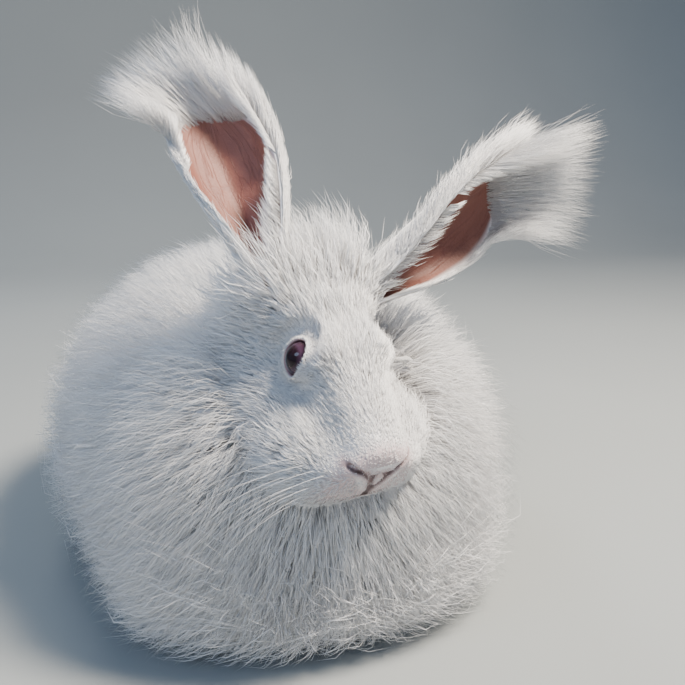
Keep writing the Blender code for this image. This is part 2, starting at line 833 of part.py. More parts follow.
def body_part(name, pieces, cuts, colour, roughness):
    """Joins the pieces into one solid, cuts it, and gives it its material."""
    obj, others = pieces[0], pieces[1:]
    if others:
        combined(obj, others, "UNION")
    if cuts:
        combined(obj, cuts, "DIFFERENCE")
    largest_shell(obj)
    obj.name = name
    material = bpy.data.materials.new(name)
    material.use_nodes = True
    shader = material.node_tree.nodes["Principled BSDF"]
    shader.inputs["Base Color"].default_value = (*colour, 1.0)
    shader.inputs["Roughness"].default_value = roughness
    shader.inputs["Metallic"].default_value = 0.0
    obj.data.materials.clear()
    obj.data.materials.append(material)
    obj.data.shade_smooth()
    obj.data.set_sharp_from_angle(angle=math.radians(35))
    return obj


def both_sides(make):
    return [piece for side in (-1, 1) for piece in make(side)]


def foreleg_core(side, more=0.0):
    return [
        forearm(side).grown(more).mesh("forearm", 7, 10),
        paw(side).grown(more).mesh("paw", 8, 10),
    ]


def hindleg_core(side, more=0.0):
    return [
        haunch(side).grown(more).mesh("haunch", 9, 14),
        hind_foot(side).grown(more).mesh("foot", 8, 10),
    ]


def tail_core(more=0.0):
    return [TAIL.grown(more).mesh("tail_core", 7, 10)]


def core_trees():
    """The cores of the parts, as the search trees that other parts' locks are kept clear of."""
    return {
        "head": objects_tree([head_form("head_core")]),
        "ear": objects_tree([ear_leaf("leather", side) for side in (-1, 1)]),
        "neck": objects_tree([neck_core()]),
        "torso": objects_tree([torso_core()]),
        "foreleg": objects_tree(both_sides(foreleg_core)),
        "hindleg": objects_tree(both_sides(hindleg_core)),
        "tail": objects_tree(tail_core()),
    }


def coat():
    """The locks of every part, by its name. Each part's are kept clear of those laid before them."""
    cores = core_trees()
    laid = []
    found = {}

    def lay(name, own_core, make):
        others = Others([tree for core, tree in cores.items() if core != own_core], list(laid))
        found[name] = make(others)
        laid.append(shapes_tree([lock.shape() for lock in found[name]]))

    def clear(locks, others):
        return [lock for lock in locks if not others.crossed_by(lock)]

    for side, word in ((-1, "right"), (1, "left")):
        lay("ear_" + word, "ear", lambda others: clear(ear_locks(side), others))
        lay("hindleg_" + word, "hindleg", lambda others: LEG_WOOL.locks(haunch(side), others))
    lay("head", "head", lambda others: clear(head_locks(), others))
    lay("tail", "tail", lambda others: TAIL_WOOL.locks(TAIL, others))
    lay("neck", "neck", lambda others: NECK_WOOL.locks(NECK, others))
    lay("torso", "torso", lambda others: TORSO_WOOL.locks(TORSO, others))
    return found


def build():
    hair = coat()

    def locks(name):
        return [solid("lock", *lock.shape()) for lock in hair[name]]

    for side, word in ((-1, "right"), (1, "left")):
        eyeball = ball("eyeball", eye_centre(side), EYE_RADIUS)
        body_part("eye_" + word, [eyeball], [], EYE_RED, 0.08)
        leather = [ear_leaf("leather", side)] + locks("ear_" + word)
        body_part("ear_" + word, leather, [head_form("head_room", GAP)], EAR_PINK, 0.8)
        body_part("foreleg_" + word, foreleg_core(side), [ground()], WHITE, 0.9)
        leg = hindleg_core(side) + locks("hindleg_" + word)
        body_part("hindleg_" + word, leg, [ground()], WHITE, 0.95)

    lip = round_tube("lip", mouth_path(MOUTH_BELOW + LIP_RADIUS * 1.3, -0.0006), LIP_RADIUS)
    head = [head_form("head_core")] + locks("head") + [lids(-1), lids(1), lip]
    body_part("head", head, face_cuts(), WHITE, 0.9)

    before_neck = [head_form("head_room", GAP)] + both_sides(lambda side: foreleg_core(side, GAP))
    body_part("neck", [neck_core()] + locks("neck"), before_neck + [ground()], WHITE, 0.95)
    body_part("tail", tail_core() + locks("tail"), [], WHITE, 0.95)
    before_torso = both_sides(lambda side: hindleg_core(side, GAP)) + tail_core(GAP)
    body_part("torso", [torso_core()] + locks("torso"), before_torso + [ground()], WHITE, 0.95)


for old in list(bpy.data.objects):
    bpy.data.objects.remove(old)
build()
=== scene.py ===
# %% [markdown]
# # An angora rabbit in full coat
#
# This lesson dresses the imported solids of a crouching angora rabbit. The rabbit is all white: a small
# body under a very deep coat, a bare-looking face with short fur, pink ears with long tufts, and the red
# eyes of an albino. One skin takes the place of the solids of flesh, and then the wool grows from that
# skin, hair by hair.

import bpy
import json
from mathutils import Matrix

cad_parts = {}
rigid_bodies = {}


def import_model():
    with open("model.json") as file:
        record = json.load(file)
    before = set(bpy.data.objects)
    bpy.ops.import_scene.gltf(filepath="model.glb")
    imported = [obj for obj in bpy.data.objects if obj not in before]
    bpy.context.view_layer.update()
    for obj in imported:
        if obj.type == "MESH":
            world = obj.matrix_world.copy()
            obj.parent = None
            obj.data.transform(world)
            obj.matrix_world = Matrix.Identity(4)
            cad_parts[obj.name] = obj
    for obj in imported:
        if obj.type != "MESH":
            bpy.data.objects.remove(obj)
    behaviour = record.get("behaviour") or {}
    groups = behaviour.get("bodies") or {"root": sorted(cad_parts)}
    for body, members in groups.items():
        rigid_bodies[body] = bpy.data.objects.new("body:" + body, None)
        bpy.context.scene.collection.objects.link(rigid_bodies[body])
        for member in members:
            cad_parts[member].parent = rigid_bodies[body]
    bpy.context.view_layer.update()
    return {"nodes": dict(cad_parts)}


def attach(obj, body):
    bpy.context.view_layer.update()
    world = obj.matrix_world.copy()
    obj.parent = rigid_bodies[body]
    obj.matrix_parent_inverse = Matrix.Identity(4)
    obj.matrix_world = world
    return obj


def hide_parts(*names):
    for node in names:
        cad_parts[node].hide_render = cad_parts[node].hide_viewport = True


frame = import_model()
print("nodes", sorted(frame["nodes"]))

# %% Modules and shared helpers
import json
import math

import bmesh
import bpy
import numpy as np
from mathutils import Vector
from mathutils.kdtree import KDTree

scene = bpy.context.scene


def unit(vectors):
    """The same vectors, one metre long."""
    return vectors / np.maximum(1e-9, np.linalg.norm(vectors, axis=-1, keepdims=True))


def dot(first, second):
    return (first * second).sum(-1, keepdims=True)


def smooth_step(low, high, values):
    share = np.clip((values - low) / (high - low), 0, 1)
    return share * share * (3 - 2 * share)


def linked(obj):
    scene.collection.objects.link(obj)
    return obj


def applied(obj):
    """Makes the object's modifiers part of its mesh."""
    bpy.context.view_layer.update()
    graph = bpy.context.evaluated_depsgraph_get()
    mesh = bpy.data.meshes.new_from_object(obj.evaluated_get(graph))
    obj.modifiers.clear()
    obj.data = mesh
    return obj


def read(items, name, width=1, kind=float):
    """One property of a mesh's items, as one row of numbers for each item."""
    found = np.zeros(len(items) * width, kind)
    items.foreach_get(name, found)
    return found.reshape(-1, width) if width > 1 else found


def store(mesh, name, values):
    """Keeps one number for each of the mesh's points."""
    stored = mesh.attributes.new(name, "FLOAT", "POINT")
    stored.data.foreach_set("value", np.asarray(values, np.float32))


# %% [markdown]
# ## Camera
#
# The photograph looks down at the rabbit by about 15 degrees, from a little to its right, at about 0.36 m
# from its eyes. A camera that near makes the head large against the body, so the distance matters as much
# as the angle. The lens and the small shift give the photograph's frame.

# %% The camera at the photograph's place
EYE_MIDDLE = np.array([0.0, -0.150, 0.170])
CAMERA_ROUND = math.radians(-16)
CAMERA_ABOVE = math.radians(15)
CAMERA_AWAY = 0.358
IMAGE_SIDE = 685
FOCUS_PIXELS = 734.5
EYES_AT = (340, 355)  # where the middle between the eyes falls in the image

back = Vector(
    (
        math.sin(CAMERA_ROUND) * math.cos(CAMERA_ABOVE),
        -math.cos(CAMERA_ROUND) * math.cos(CAMERA_ABOVE),
        math.sin(CAMERA_ABOVE),
    )
)
lens = bpy.data.cameras.new("camera")
lens.sensor_fit = "HORIZONTAL"
lens.sensor_width = 36
lens.lens = FOCUS_PIXELS / IMAGE_SIDE * 36
lens.shift_x = (IMAGE_SIDE / 2 - EYES_AT[0]) / IMAGE_SIDE
lens.shift_y = (EYES_AT[1] - IMAGE_SIDE / 2) / IMAGE_SIDE
lens.clip_start = 0.01
camera = linked(bpy.data.objects.new("camera", lens))
camera.location = Vector(EYE_MIDDLE) + back * CAMERA_AWAY
camera.rotation_euler = (-back).to_track_quat("-Z", "Y").to_euler()
scene.camera = camera

# %% [markdown]
# ## Floor and light
#
# A white coat shows its form only through soft shade, so a large warm lamp stands at the rabbit's left, a
# large cool one fills from its right, and one from behind draws a bright rim on the wool. The floor
# curves up into a wall behind, a little darker than the coat, so that the outline stays readable.

# %% The floor that curves up behind
FLOOR_HALF = 2.2
WALL_FOOT = 1.3  # where the floor starts to rise
WALL_CURVE = 0.9
WALL_TOP = 3.0

profile = [(-FLOOR_HALF, 0.0), (WALL_FOOT, 0.0)]
for step in range(1, 13):
    angle = math.pi / 2 * step / 12
    profile.append((WALL_FOOT + WALL_CURVE * math.sin(angle), WALL_CURVE * (1 - math.cos(angle))))
profile.append((WALL_FOOT + WALL_CURVE, WALL_TOP))
floor_points = [(x, y, z - 0.0004) for y, z in profile for x in (-2 * FLOOR_HALF, 2 * FLOOR_HALF)]
floor_faces = [(2 * i, 2 * i + 1, 2 * i + 3, 2 * i + 2) for i in range(len(profile) - 1)]
floor_mesh = bpy.data.meshes.new("floor")
floor_mesh.from_pydata(floor_points, [], floor_faces)
floor_mesh.shade_smooth()
floor = linked(bpy.data.objects.new("floor", floor_mesh))


# %% The lamps
def soft_lamp(name, place, side, power, colour, aim=(0.0, 0.0, 0.12)):
    light = bpy.data.lights.new(name, "AREA")
    light.shape = "DISK"
    light.size = side
    light.energy = power
    light.color = colour
    lamp = linked(bpy.data.objects.new(name, light))
    lamp.location = place
    way = Vector(aim) - Vector(place)
    lamp.rotation_euler = way.to_track_quat("-Z", "Y").to_euler()
    return lamp


soft_lamp("key_lamp", (0.62, -0.40, 1.35), 0.40, 66, (1.0, 0.89, 0.75))
soft_lamp("fill_lamp", (-1.2, -0.7, 1.3), 0.7, 7, (0.52, 0.70, 1.0))
soft_lamp("rim_lamp", (-0.35, 1.2, 1.3), 0.6, 9, (0.90, 0.95, 1.0))
world = bpy.data.worlds.new("studio")
scene.world = world
world.use_nodes = True
surround = world.node_tree.nodes["Background"]
surround.inputs["Color"].default_value = (0.56, 0.73, 1.0, 1.0)
surround.inputs["Strength"].default_value = 0.50

# %% [markdown]
# ## Shader helpers
#
# Procedural materials are sums and products of a few patterns. This small class wraps a socket, so that
# the sums can be written as Python expressions, and one method makes every other node.


# %% A socket that can be reckoned with
class Value:
    """A socket of a material. Operators add the Math nodes."""

    def __init__(self, nodes, socket):
        self.nodes, self.socket = nodes, socket

    def reckon(self, operation, *values):
        return self.nodes.add("ShaderNodeMath", {"operation": operation}, dict(enumerate(values)))

    def __add__(self, other):
        return self.reckon("ADD", self, other)

    def __sub__(self, other):
        return self.reckon("SUBTRACT", self, other)

    def __rsub__(self, other):
        return self.reckon("SUBTRACT", other, self)

    def __mul__(self, other):
        return self.reckon("MULTIPLY", self, other)

    def __truediv__(self, other):
        return self.reckon("DIVIDE", self, other)

    def __pow__(self, other):
        return self.reckon("POWER", self, other)

    __radd__ = __add__
    __rmul__ = __mul__


class Nodes:
    """The nodes of one tree. add() takes a node's type, its settings and its sockets' values or links."""

    def __init__(self, tree):
        self.tree = tree
        tree.nodes.clear()

    def add(self, kind, settings=None, sockets=None, out=0):
        node = self.tree.nodes.new(kind)
        for name, value in (settings or {}).items():
            if name == "stops":
                while len(node.color_ramp.elements) < len(value):
                    node.color_ramp.elements.new(0.5)
                for stop, (place, colour) in zip(node.color_ramp.elements, value):
                    stop.position = place
                    stop.color = (*colour, 1.0)
            else:
                setattr(node, name, value)
        for name, value in (sockets or {}).items():
            if isinstance(value, Value):
                self.tree.links.new(value.socket, node.inputs[name])
            else:
                node.inputs[name].default_value = value
        return Value(self, node.outputs[out]) if node.outputs else node

    def mix(self, share, first, second):
        """A colour between two others. A plain colour is given as three numbers."""
        colours = [c if isinstance(c, Value) else (*c, 1.0) for c in (first, second)]
        sockets = {0: share, 6: colours[0], 7: colours[1]}
        return self.add("ShaderNodeMix", {"data_type": "RGBA"}, sockets, out=2)

    def attribute(self, name):
        """A number stored on the mesh."""
        return self.add("ShaderNodeAttribute", {"attribute_name": name}, out=2)

    def noise(self, scale, detail=2.0, stretch=(1, 1, 1)):
        place = self.add("ShaderNodeTexCoord", out=3)
        spread = self.add("ShaderNodeMapping", None, {"Vector": place, "Scale": stretch})
        return self.add("ShaderNodeTexNoise", None, {"Vector": spread, "Scale": scale, "Detail": detail})

    def bump(self, height, distance, strength):
        sockets = {"Height": height, "Distance": distance, "Strength": strength}
        return self.add("ShaderNodeBump", None, sockets)

    def finish(self, **sockets):
        """The surface shader. Underlines stand for the spaces in the sockets' names."""
        named = {name.replace("_", " "): value for name, value in sockets.items()}
        shader = self.add("ShaderNodeBsdfPrincipled", None, named)
        self.add("ShaderNodeOutputMaterial", None, {"Surface": shader})


def new_material(name):
    material = bpy.data.materials.new(name)
    material.use_nodes = True
    return material, Nodes(material.node_tree)


# %% The floor's finish
floor_finish, nodes = new_material("floor_paper")
speckle = nodes.noise(3.0)
floor_colour = nodes.mix(speckle, (0.30, 0.32, 0.32), (0.33, 0.35, 0.35))
nodes.finish(Base_Color=floor_colour, Roughness=0.9)
floor_mesh.materials.append(floor_finish)

# %% [markdown]
# ## Forms of the body
#
# The solids were made from egg-shaped forms and from a head given by its sections. The same values are
# repeated here, so that the skin lies where the solids are and the wool ends where their locks end. The
# eggs are kept as formulas, because the wool needs to know how far each root is from the outside of the
# coat.


# %% Eggs
class Egg:
    """A smooth closed form along Y. square is 1 for round sections and less for fuller ones."""

    def __init__(self, centre, front, rear, half_width, up, down, square=1.0, square_below=None):
        self.centre = np.array(centre)
        self.front, self.rear = front, rear
        self.half_width, self.up, self.down = half_width, up, down
        self.square = square
        self.square_below = square_below or square

    def grown(self, more):
        sizes = [size + more for size in (self.front, self.rear, self.half_width, self.up, self.down)]
        return Egg(self.centre, *sizes, self.square, self.square_below)

    def size(self, points):
        """1 on the surface, less inside and more outside."""
        x, y, z = (points - self.centre).T
        power = 2 / np.where(z > 0, self.square, self.square_below)
        across = np.abs(x) / self.half_width
        height = np.abs(z) / np.where(z > 0, self.up, self.down)
        girth = (across**power + height**power) ** (1 / power)
        return np.hypot(girth, y / np.where(y > 0, self.rear, self.front))

    def rows(self, rings=40, sides=60):
        """Rows of points round the form, from its front to its rear."""
        along = -np.cos(np.pi * (np.arange(rings) + 0.5) / rings)[:, None]
        around = (2 * np.pi * np.arange(sides) / sides)[None, :]
        girth = np.sqrt(1 - along**2)
        square = np.where(np.cos(around) > 0, self.square, self.square_below)
        across = np.sign(np.sin(around)) * np.abs(np.sin(around)) ** square
        height = np.sign(np.cos(around)) * np.abs(np.cos(around)) ** square
        x = across * girth * self.half_width
        y = along * np.where(along > 0, self.rear, self.front) + 0 * around
        z = height * girth * np.where(height > 0, self.up, self.down)
        return self.centre + np.stack([x, y, z], -1)


def rows_mesh(name, grids, poles=True):
    """One object from grids of rows of points, each closed round and with a pole at either end."""
    points, faces = [], []
    for rows in grids:
        start = sum(len(p) for p in points)
        count, sides = rows.shape[:2]
        points.append(rows.reshape(-1, 3))
        i, j = np.meshgrid(np.arange(count - 1), np.arange(sides), indexing="ij")
        a, b = i * sides, (i + 1) * sides
        k = (j + 1) % sides
        quads = np.stack([a + j, a + k, b + k, b + j], -1).reshape(-1, 4) + start
        faces += quads.tolist()
        if poles:
            ends = start + count * sides
            points.append(np.array([rows[0].mean(0), rows[-1].mean(0)]))
            last = start + (count - 1) * sides
            faces += [(ends, start + (s + 1) % sides, start + s) for s in range(sides)]
            faces += [(ends + 1, last + s, last + (s + 1) % sides) for s in range(sides)]
    mesh = bpy.data.meshes.new(name)
    mesh.from_pydata(np.vstack(points), [], faces)
    work = bmesh.new()
    work.from_mesh(mesh)
    bmesh.ops.recalc_face_normals(work, faces=work.faces)
    work.to_mesh(mesh)
    work.free()
    return linked(bpy.data.objects.new(name, mesh))


# %% The eggs of the coat's outside and of the skin
SIDES = (-1, 1)
COAT_STAND = 0.034  # how far the wool stands out from the solids' cores
torso_core = Egg((-0.002, 0.034, 0.072), 0.150, 0.168, 0.125, 0.110, 0.086, 0.88, 0.64)
neck_core = Egg((-0.002, -0.094, 0.080), 0.052, 0.066, 0.104, 0.090, 0.088, 0.90, 0.72)
coat_eggs = [
    torso_core.grown(COAT_STAND),
    neck_core.grown(COAT_STAND - 0.002),
    Egg((0.0, 0.204, 0.062), 0.042, 0.036, 0.038, 0.044, 0.040),
]
skin_eggs = [
    Egg((0.0, 0.040, 0.080), 0.125, 0.140, 0.080, 0.084, 0.070, 0.92),
    Egg((0.003, -0.092, 0.100), 0.044, 0.060, 0.056, 0.056, 0.070, 0.95),
    Egg((0.0, 0.200, 0.062), 0.026, 0.016, 0.013, 0.017, 0.015),
]
for side in SIDES:
    skin_eggs += [
        Egg((side * 0.066, 0.092, 0.058), 0.056, 0.060, 0.035, 0.055, 0.052),
        Egg((side * 0.098, 0.052, 0.0115), 0.063, 0.050, 0.0145, 0.0115, 0.0110),
        Egg((side * 0.082, 0.080, 0.026), 0.030, 0.034, 0.026, 0.026, 0.022),
        Egg((side * 0.030, -0.100, 0.030), 0.026, 0.028, 0.013, 0.030, 0.026),
        Egg((side * 0.030, -0.122, 0.0110), 0.026, 0.028, 0.0122, 0.0110, 0.0105),
    ]
print("skin forms", len(skin_eggs))


# %% The coat's outside
def pressed_in(points, most=1.0):
    """Points outside the coat are brought back to its outside. most is 1 there and more beyond."""
    sizes = np.array([egg.size(points.reshape(-1, 3)) for egg in coat_eggs])
    nearest = sizes.argmin(0)
    centres = np.array([egg.centre for egg in coat_eggs])[nearest]
    over = np.maximum(1, sizes.min(0) / np.broadcast_to(most, points.shape[:-1]).reshape(-1))[:, None]
    return (centres + (points.reshape(-1, 3) - centres) / over).reshape(points.shape)


# %% How far the coat reaches from a root
def coat_depth(roots, ways, most=0.12):
    """The distance from each root along its way to the outside of the coat, by halving."""
    low, high = np.zeros(len(roots)), np.full(len(roots), most)
    for _ in range(14):
        middle = (low + high) / 2
        places = roots + ways * middle[:, None]
        inside = np.min([egg.size(places) for egg in coat_eggs], axis=0) < 1
        low, high = np.where(inside, middle, low), np.where(inside, high, middle)
    return low


# %% [markdown]
# ## Head
#
# A rabbit's head is a wedge: a blunt, soft muzzle, flat cheeks that widen backwards, and eyes far out on
# the sides. It is given by sections along the line from the nose to the back of the skull, with soft
# swellings for the whisker pads, the brow and the cheeks. The slits of the nose, the cleft of the lip and
# the mouth are pressed into the finished grid, because grooves in the mesh catch real shade.

# %% Sections and swellings of the head
HEAD_TURN = math.radians(12)
HEAD_LENGTH = 0.108
NOSE_AHEAD = 0.041
NOSE_BELOW = 0.045
CROWN_PITCH = math.radians(35)
HEAD_SQUARE = 0.80
OUTLINE_STANDS = 0.002  # the solid's outline lies this far outside the sections
# Place along the head, height above and depth below its line, half width, and how much narrower it is above
HEAD_SECTIONS = np.array(
    (
        (0.000, 0.0010, 0.0040, 0.0030, 0.00),
        (0.012, 0.0050, 0.0150, 0.0105, 0.06),
        (0.040, 0.0085, 0.0275, 0.0170, 0.20),
        (0.100, 0.0115, 0.0370, 0.0225, 0.30),
        (0.220, 0.0150, 0.0410, 0.0270, 0.38),
        (0.400, 0.0205, 0.0420, 0.0305, 0.38),
        (0.560, 0.0250, 0.0440, 0.0325, 0.26),
        (0.760, 0.0300, 0.0430, 0.0340, 0.12),
        (0.920, 0.0280, 0.0320, 0.0300, 0.00),
        (1.020, 0.0160, 0.0160, 0.0180, 0.00),
        (1.050, 0.0030, 0.0030, 0.0040, 0.00),
    )
)
# Place, degrees round from the top, height, and spread along and round the head
HEAD_SWELLINGS = (
    (0.08, 112, 0.0050, 0.08, 34),  # whisker pads
    (0.02, 0, 0.0012, 0.04, 50),  # nose
    (0.15, 180, 0.0020, 0.06, 30),  # chin
    (0.34, 70, 0.0020, 0.08, 24),  # fur before the eye
    (0.51, 30, 0.0052, 0.10, 24),  # brow
    (0.56, 82, -0.0016, 0.10, 20),  # hollow under the eye
    (0.22, 98, 0.0105, 0.12, 34),  # fluff beside the muzzle
    (0.69, 62, -0.0034, 0.07, 26),  # hollow behind the eye
    (0.54, 126, 0.0076, 0.17, 30),  # cheek
    (0.88, 42, 0.0045, 0.09, 22),  # foot of the ear
)
# Rows: to the rabbit's left, ahead and up, as the head is turned
HEAD_AXES = np.array(
    (
        (math.cos(HEAD_TURN), math.sin(HEAD_TURN), 0.0),
        (math.sin(HEAD_TURN), -math.cos(HEAD_TURN), 0.0),
        (0.0, 0.0, 1.0),
    )
)


def head_direction(left, ahead, up):
    return np.array((left, ahead, up)) @ HEAD_AXES


def head_point(sideways, run, rise):
    """Points given by how far they lie sideways, along the head's line from the nose, and above that line."""
    ahead = NOSE_AHEAD - run * math.cos(CROWN_PITCH) + rise * math.sin(CROWN_PITCH)
    up = -NOSE_BELOW + run * math.sin(CROWN_PITCH) + rise * math.cos(CROWN_PITCH)
    return EYE_MIDDLE + np.stack([sideways, ahead, up], -1) @ HEAD_AXES


def head_section(places):
    """The columns of the sections at these places, on a smooth curve through the rows."""
    keys = HEAD_SECTIONS[:, 0]
    last = len(keys) - 1
    i = np.clip(np.searchsorted(keys, places, side="right") - 1, 0, last - 1)
    before, after = np.maximum(i - 1, 0), np.minimum(i + 2, last)
    span = keys[i + 1] - keys[i]
    u = np.clip((places - keys[i]) / span, 0, 1)[..., None]
    rows = HEAD_SECTIONS[:, 1:]
    leave = (rows[i + 1] - rows[before]) * (span / (keys[i + 1] - keys[before]))[..., None]
    arrive = (rows[after] - rows[i]) * (span / (keys[after] - keys[i]))[..., None]
    found = (2 * u**3 - 3 * u**2 + 1) * rows[i] + (u**3 - 2 * u**2 + u) * leave
    found += (-2 * u**3 + 3 * u**2) * rows[i + 1] + (u**3 - u**2) * arrive
    return np.moveaxis(found, -1, 0)


def signed_power(values, power):
    return np.sign(values) * np.abs(values) ** power


def fur_depth(places, degrees):
    """How far the skin lies inside the fur's outline: least at the nose and the eyes, most on the cheeks."""
    side_share = smooth_step(25, 70, np.abs(degrees))
    depth = 0.0045 * smooth_step(0.03, 0.25, places) * side_share + 0.0022 * smooth_step(0.15, 0.7, places)
    at_eye = np.exp(-(((places - 0.575) / 0.10) ** 2) - ((np.abs(degrees) - 57) / 24) ** 2)
    return 0.0010 + depth * (1 - at_eye)


def head_surface(places, degrees):
    """Points of the head's skin. degrees run from 0 at the top to 180 on the left and -180 on the right."""
    places, degrees = np.broadcast_arrays(np.asarray(places, float), np.asarray(degrees, float))
    above, below, half_width, narrower = head_section(places)
    angle = np.radians(degrees)
    across = signed_power(np.sin(angle), HEAD_SQUARE)
    height = signed_power(np.cos(angle), HEAD_SQUARE)
    lift = OUTLINE_STANDS - fur_depth(places, degrees)
    for middle, turn, tall, spread, turn_spread in HEAD_SWELLINGS:
        apart = (np.abs(degrees) - turn) / turn_spread
        lift += tall * np.exp(-(((places - middle) / spread) ** 2) - apart**2)
    sideways = across * (half_width * (1 - narrower * height) + lift)
    rise = (above - below) / 2 + height * ((above + below) / 2 + lift)
    return head_point(sideways, HEAD_LENGTH * places, rise)


def head_place(points):
    """Where points lie on the head: place along it, degrees round it, and size, 1 on the surface."""
    left, ahead, up = ((points - EYE_MIDDLE) @ HEAD_AXES.T).T
    ahead, up = ahead - NOSE_AHEAD, up + NOSE_BELOW
    run = -ahead * math.cos(CROWN_PITCH) + up * math.sin(CROWN_PITCH)
    rise = ahead * math.sin(CROWN_PITCH) + up * math.cos(CROWN_PITCH)
    places = run / HEAD_LENGTH
    above, below, half_width, _ = head_section(np.clip(places, 0, 1.05))
    height = (rise - (above - below) / 2) / ((above + below) / 2)
    across = left / half_width
    power = 2 / HEAD_SQUARE
    size = (np.abs(height) ** power + np.abs(across) ** power) ** (1 / power)
    size = np.where((places < -0.01) | (places > 1.06), 9.0, size)
    degrees = np.degrees(np.arctan2(across, height))
    return places, degrees, size


# %% The nose's slits, the cleft and the mouth, as lines on the head
MOUTH_BELOW = 0.0230
MOUTH_END = 0.22
# Places and degrees round along a slit of the nose, from its outer end to the middle
NOSTRIL = np.array(
    (
        (0.066, 61),
        (0.042, 60),
        (0.022, 62),
        (0.006, 72),
        (0.000, 100),
        (0.001, 140),
        (0.007, 168),
        (0.012, 180),
    )
)


def mouth_degrees(places, below):
    above, depth, _, _ = head_section(places)
    height = (-below - (above - depth) / 2) / ((above + depth) / 2)
    return np.degrees(np.arccos(signed_power(np.clip(height, -1, 1), 1 / HEAD_SQUARE)))


tries = np.linspace(0.01, 0.2, 400)
mouth_front = tries[np.argmax(head_section(tries)[1] > MOUTH_BELOW)]
mouth_places = mouth_front + (MOUTH_END - mouth_front) * np.linspace(0, 1, 24) ** 1.5
lines = {"mouth": [], "nostril": []}
for side in SIDES:
    lines["mouth"].append(head_surface(mouth_places, side * mouth_degrees(mouth_places, MOUTH_BELOW)))
    lines["nostril"].append(head_surface(NOSTRIL[:, 0], side * NOSTRIL[:, 1]))
lines["cleft"] = [head_surface(np.linspace(NOSTRIL[-1, 0], mouth_front, 10), 180)]


def line_distance(points, paths):
    """The distance from each point to the nearest of some lines, and its share along that line, 0 to 1."""
    nearest = np.full(len(points), 9.0)
    along = np.zeros(len(points))
    for path in paths:
        for i, (start, end) in enumerate(zip(path, path[1:])):
            run = end - start
            share = np.clip((points - start) @ run / (run @ run), 0, 1)
            apart = np.linalg.norm(points - start - share[:, None] * run, axis=1)
            closer = apart < nearest
            nearest = np.where(closer, apart, nearest)
            along = np.where(closer, (i + share) / (len(path) - 1), along)
    return nearest, along


# %% The head's grid, with the lines pressed in
HEAD_RINGS, HEAD_ROUND = 170, 200
last_place = HEAD_SECTIONS[-1, 0]
ring_places = last_place * (1 - np.cos(np.pi * (np.arange(HEAD_RINGS) + 0.5) / HEAD_RINGS)) / 2
ring_places = ring_places**1.15 / last_place**0.15  # more rings at the nose
turns = np.linspace(-180, 180, HEAD_ROUND, endpoint=False)
head_rows = head_surface(ring_places[:, None], turns[None, :])
down_rows = np.gradient(head_rows, axis=0)
round_rows = np.roll(head_rows, -1, axis=1) - np.roll(head_rows, 1, axis=1)
outward = unit(np.cross(round_rows, down_rows))
flat = head_rows.reshape(-1, 3)


def groove(paths, width, depth, fade=0.15):
    """How deep a groove along these lines is at each point of the head. It fades towards the lines' ends."""
    apart, along = line_distance(flat, paths)
    deep = depth * np.exp(-((apart / width) ** 2)) * smooth_step(0, fade, 1 - along)
    return deep.reshape(HEAD_RINGS, HEAD_ROUND)


slits = [path[::-1] for path in lines["nostril"]]
press = groove(slits, 0.0014, 0.0034) + groove(lines["cleft"], 0.0016, 0.0036, 0.01)
press += groove(lines["mouth"], 0.0013, 0.0026, 0.6)
press -= groove(slits, 0.0040, 0.0012) + groove(lines["mouth"], 0.0036, 0.0009, 0.3)
head_rows = head_rows - outward * press[..., None]
head = rows_mesh("head_skin", [head_rows])
print("head", len(head.data.polygons), "faces")

# %% [markdown]
# ## Eyes and lids
#
# The eye is a full ball that sits deep in the head, with a slightly steeper cornea in front. An albino's
# iris has no dark colour of its own, so it looks mauve, and the pupil deep red. The lids are a soft pink
# rim that lies on the ball. They are part of the skin, while the eyeballs stay separate pieces.

# %% Directions of the eyes
EYE_RADIUS = 0.0098
EYE_APART = 0.0372  # a little less than in the solids, so that the lids lie level with the fur
GAZE_OUT = math.radians(82)
GAZE_UP = math.radians(18)
OPENING_LONG = math.radians(50)
OPENING_HIGH = math.radians(63)
OPENING_TILT = math.radians(15)


def eye_centre(side):
    return EYE_MIDDLE + head_direction(side * EYE_APART / 2, 0, 0)


def eye_axes(side):
    """The way the eye looks, towards the front corner of its lids, and across both."""
    level = math.cos(GAZE_UP)
    gaze = head_direction(side * math.sin(GAZE_OUT) * level, math.cos(GAZE_OUT) * level, math.sin(GAZE_UP))
    ahead = head_direction(0, math.cos(OPENING_TILT), -math.sin(OPENING_TILT))
    corner = unit(ahead - gaze * (ahead @ gaze))
    return gaze, corner, np.cross(gaze, corner)


# %% The lids, a thin shell over the ball with a rounded rim
LID_TURNS = 72
# Angle from the rim and distance from the ball, once round the section of a lid
LID_SECTION = np.array(
    (
        (0.00, 0.0001),
        (-0.05, 0.0005),
        (-0.03, 0.0010),
        (0.06, 0.0012),
        (0.20, 0.0011),
        (0.38, 0.0010),
        (0.58, 0.0008),
        (0.66, -0.0002),
        (0.58, -0.0008),
        (0.38, -0.0006),
        (0.20, -0.0005),
        (0.06, -0.0004),
    )
)


def lid_rows(side, section=LID_SECTION):
    """Rows of points round the lids. The opening is an ellipse with a corner in front and one behind."""
    gaze, corner, across = eye_axes(side)
    turn = 2 * np.pi * np.arange(LID_TURNS) / LID_TURNS
    opening = 1 / np.hypot(np.cos(turn) / OPENING_LONG, np.sin(turn) / OPENING_HIGH)
    tilt = opening[:, None, None] + section[None, :, :1]
    spoke = (corner * np.cos(turn)[:, None] + across * np.sin(turn)[:, None])[:, None]
    reach = EYE_RADIUS + section[None, :, 1:]
    return eye_centre(side) + reach * (gaze * np.cos(tilt) + spoke * np.sin(tilt))


for side in SIDES:
    rim = lid_rows(side, LID_SECTION[:1])[:, 0]
    lines["lids"] = lines.get("lids", []) + [np.vstack([rim, rim[:1]])]


